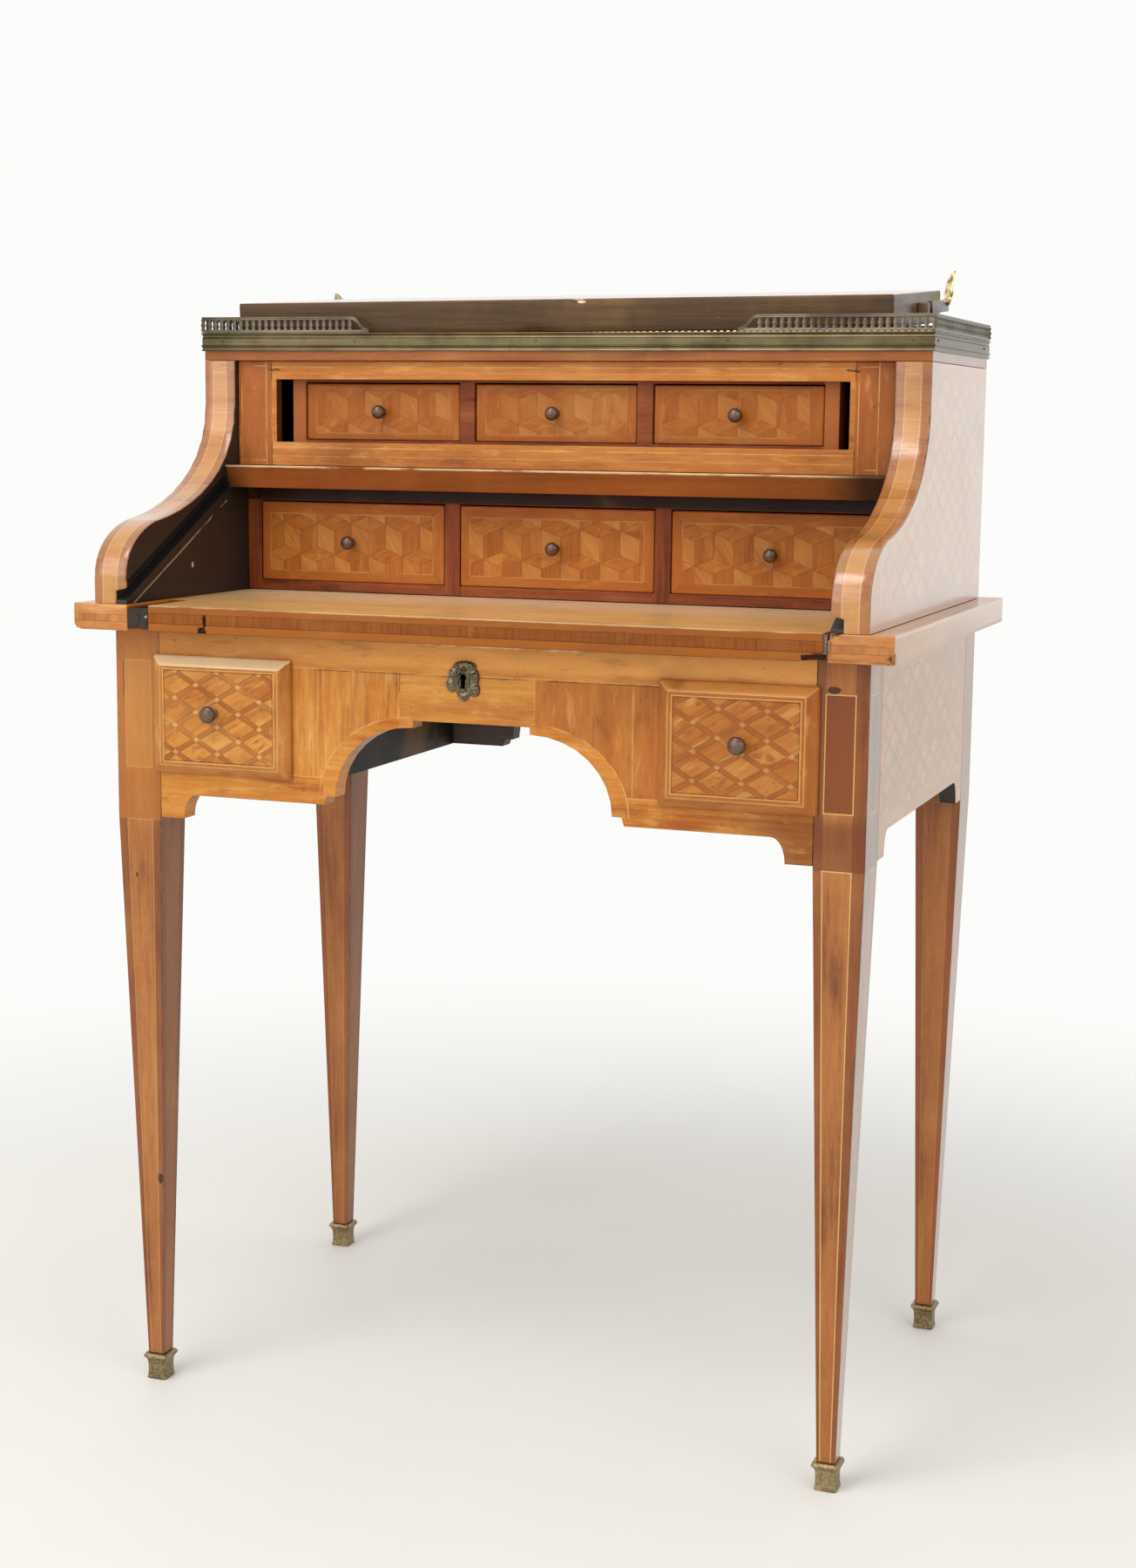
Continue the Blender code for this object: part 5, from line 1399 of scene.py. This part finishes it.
def rail_path(start, end, swoop_start, swoop_end):
    """The top rail's line: level, and swooping down to a foot at a free end."""
    low, level = GALLERY_BOTTOM + RAIL_DEEP, RAIL_MIDDLE
    reach = SWOOP * 0.55
    first = np.array([(start, level)])
    last = np.array([(end, level)])
    if swoop_start:
        high = start + SWOOP
        first = cubic((start, low), (start + reach, low), (high - reach, level), (high, level), 22)
    if swoop_end:
        high = end - SWOOP
        last = cubic((high, level), (high + reach, level), (end - reach, low), (end, low), 22)
    return np.concatenate([first, last])


def swept_rail(path, axis, place):
    """The rail's section carried along its line, square to it."""
    heading = np.gradient(path, axis=0)
    heading /= np.linalg.norm(heading, axis=1)[:, None]
    half, height = rail_section()
    along = path[:, :1] - heading[:, 1:] * height[None]
    up = path[:, 1:] + heading[:, :1] * height[None]
    across = np.broadcast_to(half[None], along.shape)
    return weave(laid(along, across, up, axis, place), ring=True, capped=True)


def bars(centres, axis, place):
    """Small balusters: wide at the ends and at the middle bead, with figure-eight openings between."""
    share = np.array((0.0, 0.08, 0.2, 0.34, 0.46, 0.54, 0.66, 0.8, 0.92, 1.0))
    hole = np.array((0.6, 2.3, 3.3, 3.1, 1.8, 1.7, 3.2, 3.7, 2.8, 0.6)) / 1000
    half = (BAR_PITCH - hole) / 2
    bottom, top = GALLERY_BOTTOM + 0.0021, GALLERY_TOP - 0.0029
    angle = np.linspace(0, 2 * math.pi, 8, endpoint=False) + math.radians(22.5)
    along = centres[:, None, None] + half[None, :, None] * np.cos(angle)
    across = np.broadcast_to(0.0007 * np.sin(angle), along.shape)
    up = np.broadcast_to((bottom + share * (top - bottom))[None, :, None], along.shape)
    return repeated(laid(along, across, up, axis, place))


def foot_rail(start, end, axis, place):
    """The gallery's lower rail: a low rounded strip."""
    half = np.array((-0.0008, -0.0008, -0.0004, 0.0004, 0.0008, 0.0008))
    height = np.array((0.0, 0.0019, 0.0025, 0.0025, 0.0019, 0.0)) + GALLERY_BOTTOM
    along, across = np.broadcast_arrays(np.array((start, end))[:, None], half[None])
    up = np.broadcast_to(height[None], along.shape)
    return weave(laid(along, across, up, axis, place), ring=True, capped=True)


def gallery(node, axis, swoop_start=False, swoop_end=False):
    """One gallery strip: swept top rail, balusters and lower rail."""
    low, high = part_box(node)
    place = ((low.y + high.y) / 2, (low.x + high.x) / 2)[axis]
    start, end = low[axis], high[axis]
    path = rail_path(start, end, swoop_start, swoop_end)
    shells = [swept_rail(path, axis, place), foot_rail(start, end, axis, place)]
    first = start + (SWOOP if swoop_start else 0.0012)
    last = end - (SWOOP if swoop_end else 0.0012)
    count = int(round((last - first) / BAR_PITCH))
    shells.append(bars(np.linspace(first, last, count + 1), axis, place))
    piece(f"{node}_pierced", shells, gallery_brass, "carcass", (node,), crease=50)


gallery("gallery_front_left", 0, swoop_end=True)
gallery("gallery_front_right", 0, swoop_start=True)
gallery("gallery_back", 0)
gallery("gallery_left", 1)
gallery("gallery_right", 1)

# Escutcheon: its middle lies in the keyhole's slot, BOW_RISE below the middle of the bow
BOW_RISE = 0.003
ESCUTCHEON_CENTRE = (KEYHOLE[0], 0.6914 - BOW_RISE)
KEY_RADIUS, KEY_SLOT_HALF, KEY_SLOT_FOOT = 0.0028, 0.0019, 0.0066


def keyhole_reach(angle):
    """Distance from the middle to the keyhole's edge: the further of the slot's and the bow's exits."""
    cos, sin = np.cos(angle), np.sin(angle)
    slot_side = KEY_SLOT_HALF / np.maximum(abs(cos), 0.0001)
    slot_foot = np.where(sin < 0, KEY_SLOT_FOOT / np.maximum(-sin, 0.0001), 1.0)
    slot = np.minimum(np.minimum(slot_side, slot_foot), 0.0065)
    rise = BOW_RISE * sin
    inside = rise**2 - (BOW_RISE**2 - KEY_RADIUS**2)
    bow = np.where((inside > 0) & (sin > 0), rise + np.sqrt(np.clip(inside, 0, None)), 0)
    return np.maximum(slot, bow)


def bump(x, z, at_x, at_z, wide, tall, high):
    """A smooth round lump."""
    return high * np.exp(-(((x - at_x) / wide) ** 2) - ((z - at_z) / tall) ** 2)


# Ovals of the shield from its middle: centre across and up, half width and height, and swell
ESCUTCHEON_OVALS = (
    (0.0, -0.0022, 0.0075, 0.0150, 0.0014),
    (-0.0110, -0.0032, 0.0052, 0.0066, 0.0020),
    (0.0100, -0.0066, 0.0052, 0.0068, 0.0018),
    (0.0092, 0.0036, 0.0054, 0.0080, 0.0016),
    (-0.0092, 0.0048, 0.0046, 0.0072, 0.0014),
    (0.0012, 0.0128, 0.0106, 0.0050, 0.0018),
)


def exit_distance(angle, centre_x, centre_z, half_x, half_z):
    """How far a ray from the middle runs before it leaves an ellipse for good; 0 where it misses it."""
    cos, sin = np.cos(angle) / half_x, np.sin(angle) / half_z
    off_x, off_z = centre_x / half_x, centre_z / half_z
    square = cos**2 + sin**2
    along = cos * off_x + sin * off_z
    inside = along**2 - square * (off_x**2 + off_z**2 - 1)
    far = (along + np.sqrt(np.clip(inside, 0, None))) / square
    return np.where((inside > 0) & (far > 0), far, 0)


def escutcheon():
    """Cast shield: a ring of points from the keyhole to the outline of six overlapping ovals.

    Each oval swells into a dome; a rim runs round the keyhole, ribbons fall from a bow to both sides, and
    leaves and scallops are small lumps in rows.
    """
    columns, rings = 128, 34
    angle = np.linspace(0, 2 * math.pi, columns, endpoint=False)
    hole = keyhole_reach(angle)
    outline = np.max([exit_distance(angle, *oval[:4]) for oval in ESCUTCHEON_OVALS], axis=0)
    outline += 0.00035 * np.cos(angle * 30) * (np.sin(angle) > 0.35)
    share = np.linspace(0, 1, rings)[:, None]
    radius = hole[None] + (outline - hole)[None] * share
    x = radius * np.cos(angle)
    z = radius * np.sin(angle)
    height = np.full(x.shape, 0.0011)
    for centre_x, centre_z, half_x, half_z, high in ESCUTCHEON_OVALS:
        spread = 1 - ((x - centre_x) / half_x) ** 2 - ((z - centre_z) / half_z) ** 2
        height = np.maximum(height, 0.0011 + high * np.sqrt(np.clip(spread, 0, None)))
    away = radius - hole[None]
    height += 0.0010 * np.exp(-(((away - 0.0013) / 0.0009) ** 2))
    height -= 0.0006 * np.exp(-(((away - 0.0036) / 0.0010) ** 2))
    ribbon = 0.0086 - 30.0 * x**2 - z
    height += 0.0011 * np.exp(-((ribbon / 0.0008) ** 2)) * np.exp(-((x / 0.0105) ** 4))
    for step in range(6):
        swing = math.sin(step * 0.55)
        height += bump(x, z, 0.0108 + 0.0022 * swing, 0.0062 - step * 0.0032, 0.0017, 0.0011, 0.0015)
        height += bump(x, z, 0.0136 + 0.0016 * swing, 0.0046 - step * 0.0032, 0.0010, 0.0012, 0.0010)
        scallop_z = 0.0164 - 0.0006 * abs(step - 2.5)
        height += bump(x, z, -0.0066 + step * 0.0032, scallop_z, 0.0012, 0.0015, 0.0019)
    for side in (-1, 1):
        height += bump(x, z, side * 0.0052 + 0.001, 0.0122, 0.0032, 0.0018, 0.0015)
        height -= bump(x, z, side * 0.0054 + 0.001, 0.0122, 0.0014, 0.0007, 0.0016)
    height += bump(x, z, 0.001, 0.0112, 0.0014, 0.0018, 0.0018)
    height += bump(x, z, 0, -0.0128, 0.0030, 0.0009, 0.0009)
    height[-1] = 0.0005
    back = np.zeros((1, columns))
    x = np.concatenate([x[:1], x, x[-1:]])
    z = np.concatenate([z[:1], z, z[-1:]])
    height = np.concatenate([back, height, back])
    middle_x, middle_z = ESCUTCHEON_CENTRE
    points = np.stack([middle_x + x, APRON_Y - 0.0002 - height, middle_z + z], axis=-1)
    return weave(points, ring=True, looped=True)


piece("escutcheon_cast", [escutcheon()], cast_bronze, "carcass", ("escutcheon",), crease=60)

# Lid with its pegs, straps and leaves, in its own place: lying askew and leaning back
LID_SIZE = (0.6362, 0.22197, 0.030)
PEG_HALF = (0.0058, 0.0056)
lid_turn = Euler((math.atan2(0.0172, 0.2437), -math.radians(0.39), math.radians(1.16)))
lid_home = Matrix.Translation((-0.3210, -0.0223, 0.9898)) @ lid_turn.to_matrix().to_4x4()


def on_lid(shell):
    """A shell from the lid's own corner and axes to the desk's."""
    points, faces = shell
    return points @ np.array(lid_home.to_3x3()).T + np.array(lid_home.translation), faces


def end_walls(side, *reaches):
    """Where things on one end of the lid lie along it, by how far they reach out, in rising order."""
    face = LID_SIZE[0] if side > 0 else 0.0
    return sorted(face + side * reach for reach in reaches)


def strap(side):
    """Flat iron strap on the lid's end, running out behind it."""
    walls = end_walls(side, 0.0004, 0.0038)
    low = (walls[0], LID_SIZE[1] - 0.059, 0.00925)
    high = (walls[1], LID_SIZE[1] + 0.0232, 0.02075)
    return plank(low, high, 1, 0.0007, 0.003)


def leaf(side, tall):
    """Cast leaf: a lens-shaped section carried up a leaning spine, turned half outwards.

    Its edges are lobed and it has a mid rib.
    """
    rows, columns = 40, 20
    t = np.linspace(0, 1, rows)[:, None]
    angle = np.linspace(0, 2 * math.pi, columns, endpoint=False)[None]
    lobes = 1 + 0.22 * abs(np.sin(t * math.pi * 3.5))
    wide = 0.0066 * np.sin((0.12 + 0.86 * t) * math.pi) ** 0.8 * lobes + 0.0003
    thick = 0.0028 * (1 - 0.6 * t) * (1 + 0.6 * np.exp(-((np.sin(angle) / 0.3) ** 2)))
    lean = t**1.4
    out = 0.0022 + 0.0070 * lean + 0.0012 * np.sin(t * 2 * math.pi)
    spine_x = end_walls(side, 0.0)[0] + side * out
    spine_y = LID_SIZE[1] + 0.0150 + 0.0075 * lean
    spine_z = 0.0150 + tall * t
    points = np.zeros((rows, columns, 3))
    points[..., 0] = spine_x + side * (wide * np.sin(angle) * 0.62 + thick * np.cos(angle) * 0.78)
    points[..., 1] = spine_y - wide * np.sin(angle) * 0.78 + thick * np.cos(angle) * 0.62
    points[..., 2] = spine_z - 0.0020 * abs(np.sin(angle)) * np.sin(t * math.pi)
    return weave(points, ring=True, capped=True)


def lid_peg(side):
    """Squarish peg with rounded edges."""
    walls = end_walls(side, 0.0003, 0.0100)
    low = (walls[0], LID_SIZE[1] / 2 - PEG_HALF[0], LID_SIZE[2] / 2 - PEG_HALF[1])
    high = (walls[1], LID_SIZE[1] / 2 + PEG_HALF[0], LID_SIZE[2] / 2 + PEG_HALF[1])
    return plank(low, high, 0, 0.0016, 0.003)


LEAF_TALL = {"left": 0.0205, "right": 0.0322}
lid_dents = (
    ((0.345, 0.0, 0.030), (0.006, 0.004, 0.003), (0, 0.0012, -0.0012)),
    ((0.30, 0.0, 0.0), (0.012, 0.004, 0.003), (0, 0.001, 0.0008)),
)
lid_shell = on_lid(plank((0, 0, 0), LID_SIZE, 0, 0.0016, 0.004, lid_dents))
piece("lid_worn", [lid_shell], lid_finish(), "slant_front", ("lid",))
for word, side in SIDES.items():
    node = f"lid_{word}_peg"
    piece(f"{node}_square", [on_lid(lid_peg(side))], peg_wood, "slant_front", (node,))
    node = f"lid_{word}_bracket"
    shells = [on_lid(strap(side)), on_lid(leaf(side, LEAF_TALL[word]))]
    piece(f"{node}_cast", shells, leaf_gilt, "slant_front", (node,), crease=45)

# Floor, fading into the pale backdrop away from the desk
BACKDROP = seen(252, 252, 250)
FLOOR_TONES = (seen(246, 245, 240), seen(252, 251, 248))
FLOOR_HALF = 9.0
FLOOR_FADE = (0.5, 1.7)
floor_mesh = bpy.data.meshes.new("floor")
corner_x, corner_y = np.meshgrid((-FLOOR_HALF, FLOOR_HALF), (-FLOOR_HALF, FLOOR_HALF))
corners = np.stack([corner_x.ravel(), corner_y.ravel(), np.zeros(4)], axis=-1)
floor_mesh.from_pydata(corners.tolist(), [], [(0, 1, 3, 2)])
f = Finish("pale_floor")
f.colour = f.blend(f.lumps(3.0, 4.0, 0.6), *FLOOR_TONES)
floor_mesh.materials.append(f.done(f.uneven(0.55, 14.0, 0.1), gloss=0.3))
far = f.math("SQRT", f.x * f.x + f.y * f.y)
backdrop = f.tree.nodes.new("ShaderNodeEmission")
backdrop.inputs["Color"].default_value = BACKDROP
ray = f.tree.nodes.new("ShaderNodeLightPath")
clear = f.tree.nodes.new("ShaderNodeMixShader")
f.feed(clear.inputs[0], f.ramp(far, *FLOOR_FADE) * Wire(f, ray.outputs["Is Camera Ray"]))
f.tree.links.new(f.shader.outputs[0], clear.inputs[1])
f.tree.links.new(backdrop.outputs[0], clear.inputs[2])
f.tree.links.new(clear.outputs[0], f.tree.nodes["Material Output"].inputs["Surface"])
floor = bpy.data.objects.new("floor", floor_mesh)
bpy.context.scene.collection.objects.link(floor)

# Light: the world lights the desk at a plain level, and is the pale backdrop where it is looked at
WORLD_TINT, WORLD_STRENGTH = (1.0, 0.985, 0.96, 1.0), 0.68
world = bpy.data.worlds.new("studio")
bpy.context.scene.world = world
world.use_nodes = True
sky = world.node_tree
sky.nodes.clear()
rays = sky.nodes.new("ShaderNodeLightPath").outputs


def joined(kind, *sockets):
    """A node of the sky, with sockets linked to its inputs in their order."""
    node = sky.nodes.new(kind)
    for entry, socket in zip(node.inputs, sockets):
        sky.links.new(socket, entry)
    return node


def glow(colour, strength):
    """A plain background."""
    node = joined("ShaderNodeBackground")
    node.inputs["Color"].default_value = colour
    node.inputs["Strength"].default_value = strength
    return node.outputs[0]


looked_at = rays["Is Camera Ray"]
for other in ("Is Glossy Ray", "Is Transmission Ray"):
    either = joined("ShaderNodeMath", looked_at, rays[other])
    either.operation = "MAXIMUM"
    looked_at = either.outputs[0]
both = joined("ShaderNodeMixShader", looked_at, glow(WORLD_TINT, WORLD_STRENGTH), glow(BACKDROP, 1.0))
joined("ShaderNodeOutputWorld", both.outputs[0])


def lamp(name, place, aim, size, power, tint):
    """A large square lamp that faces a point."""
    light = bpy.data.lights.new(name, "AREA")
    light.size = size
    light.energy = power
    light.color = tint
    made = bpy.data.objects.new(name, light)
    made.location = place
    made.rotation_euler = (Vector(aim) - Vector(place)).to_track_quat("-Z", "Y").to_euler()
    bpy.context.scene.collection.objects.link(made)


lamp("key", (-1.3, -2.7, 1.9), (0, 0, 0.6), 2.2, 25, (1.0, 0.97, 0.93))
lamp("ceiling", (-0.45, -1.15, 2.5), (0, -0.1, 0.75), 0.9, 14, (1.0, 0.98, 0.95))
lamp("fill", (2.2, -1.6, 1.9), (0, 0, 0.6), 2.0, 14, (1.0, 0.98, 0.96))

# Camera, as fitted to straight edges: focal length in pixels of the picture's taller side
FOCAL, PICTURE_TALL, SENSOR = 2722.2, 1800, 36
STAND = (0.7845, -2.0898, 0.9091)
YAW, PITCH, ROLL = (math.radians(each) for each in (-20.284, -8.641, 0.618))
ahead = Vector((math.sin(YAW) * math.cos(PITCH), math.cos(YAW) * math.cos(PITCH), math.sin(PITCH)))
level = Vector((math.cos(YAW), -math.sin(YAW), 0))
upward = level.cross(ahead)
right = level * math.cos(ROLL) + upward * math.sin(ROLL)
above = upward * math.cos(ROLL) - level * math.sin(ROLL)
camera = bpy.data.objects.new("camera", bpy.data.cameras.new("camera"))
camera.data.sensor_width = SENSOR
camera.data.lens = FOCAL / PICTURE_TALL * SENSOR
stand = Matrix((right, above, -ahead)).transposed().to_4x4()
stand.translation = STAND
camera.matrix_world = stand
bpy.context.scene.collection.objects.link(camera)
bpy.context.scene.camera = camera
bpy.context.scene.view_settings.view_transform = "Standard"
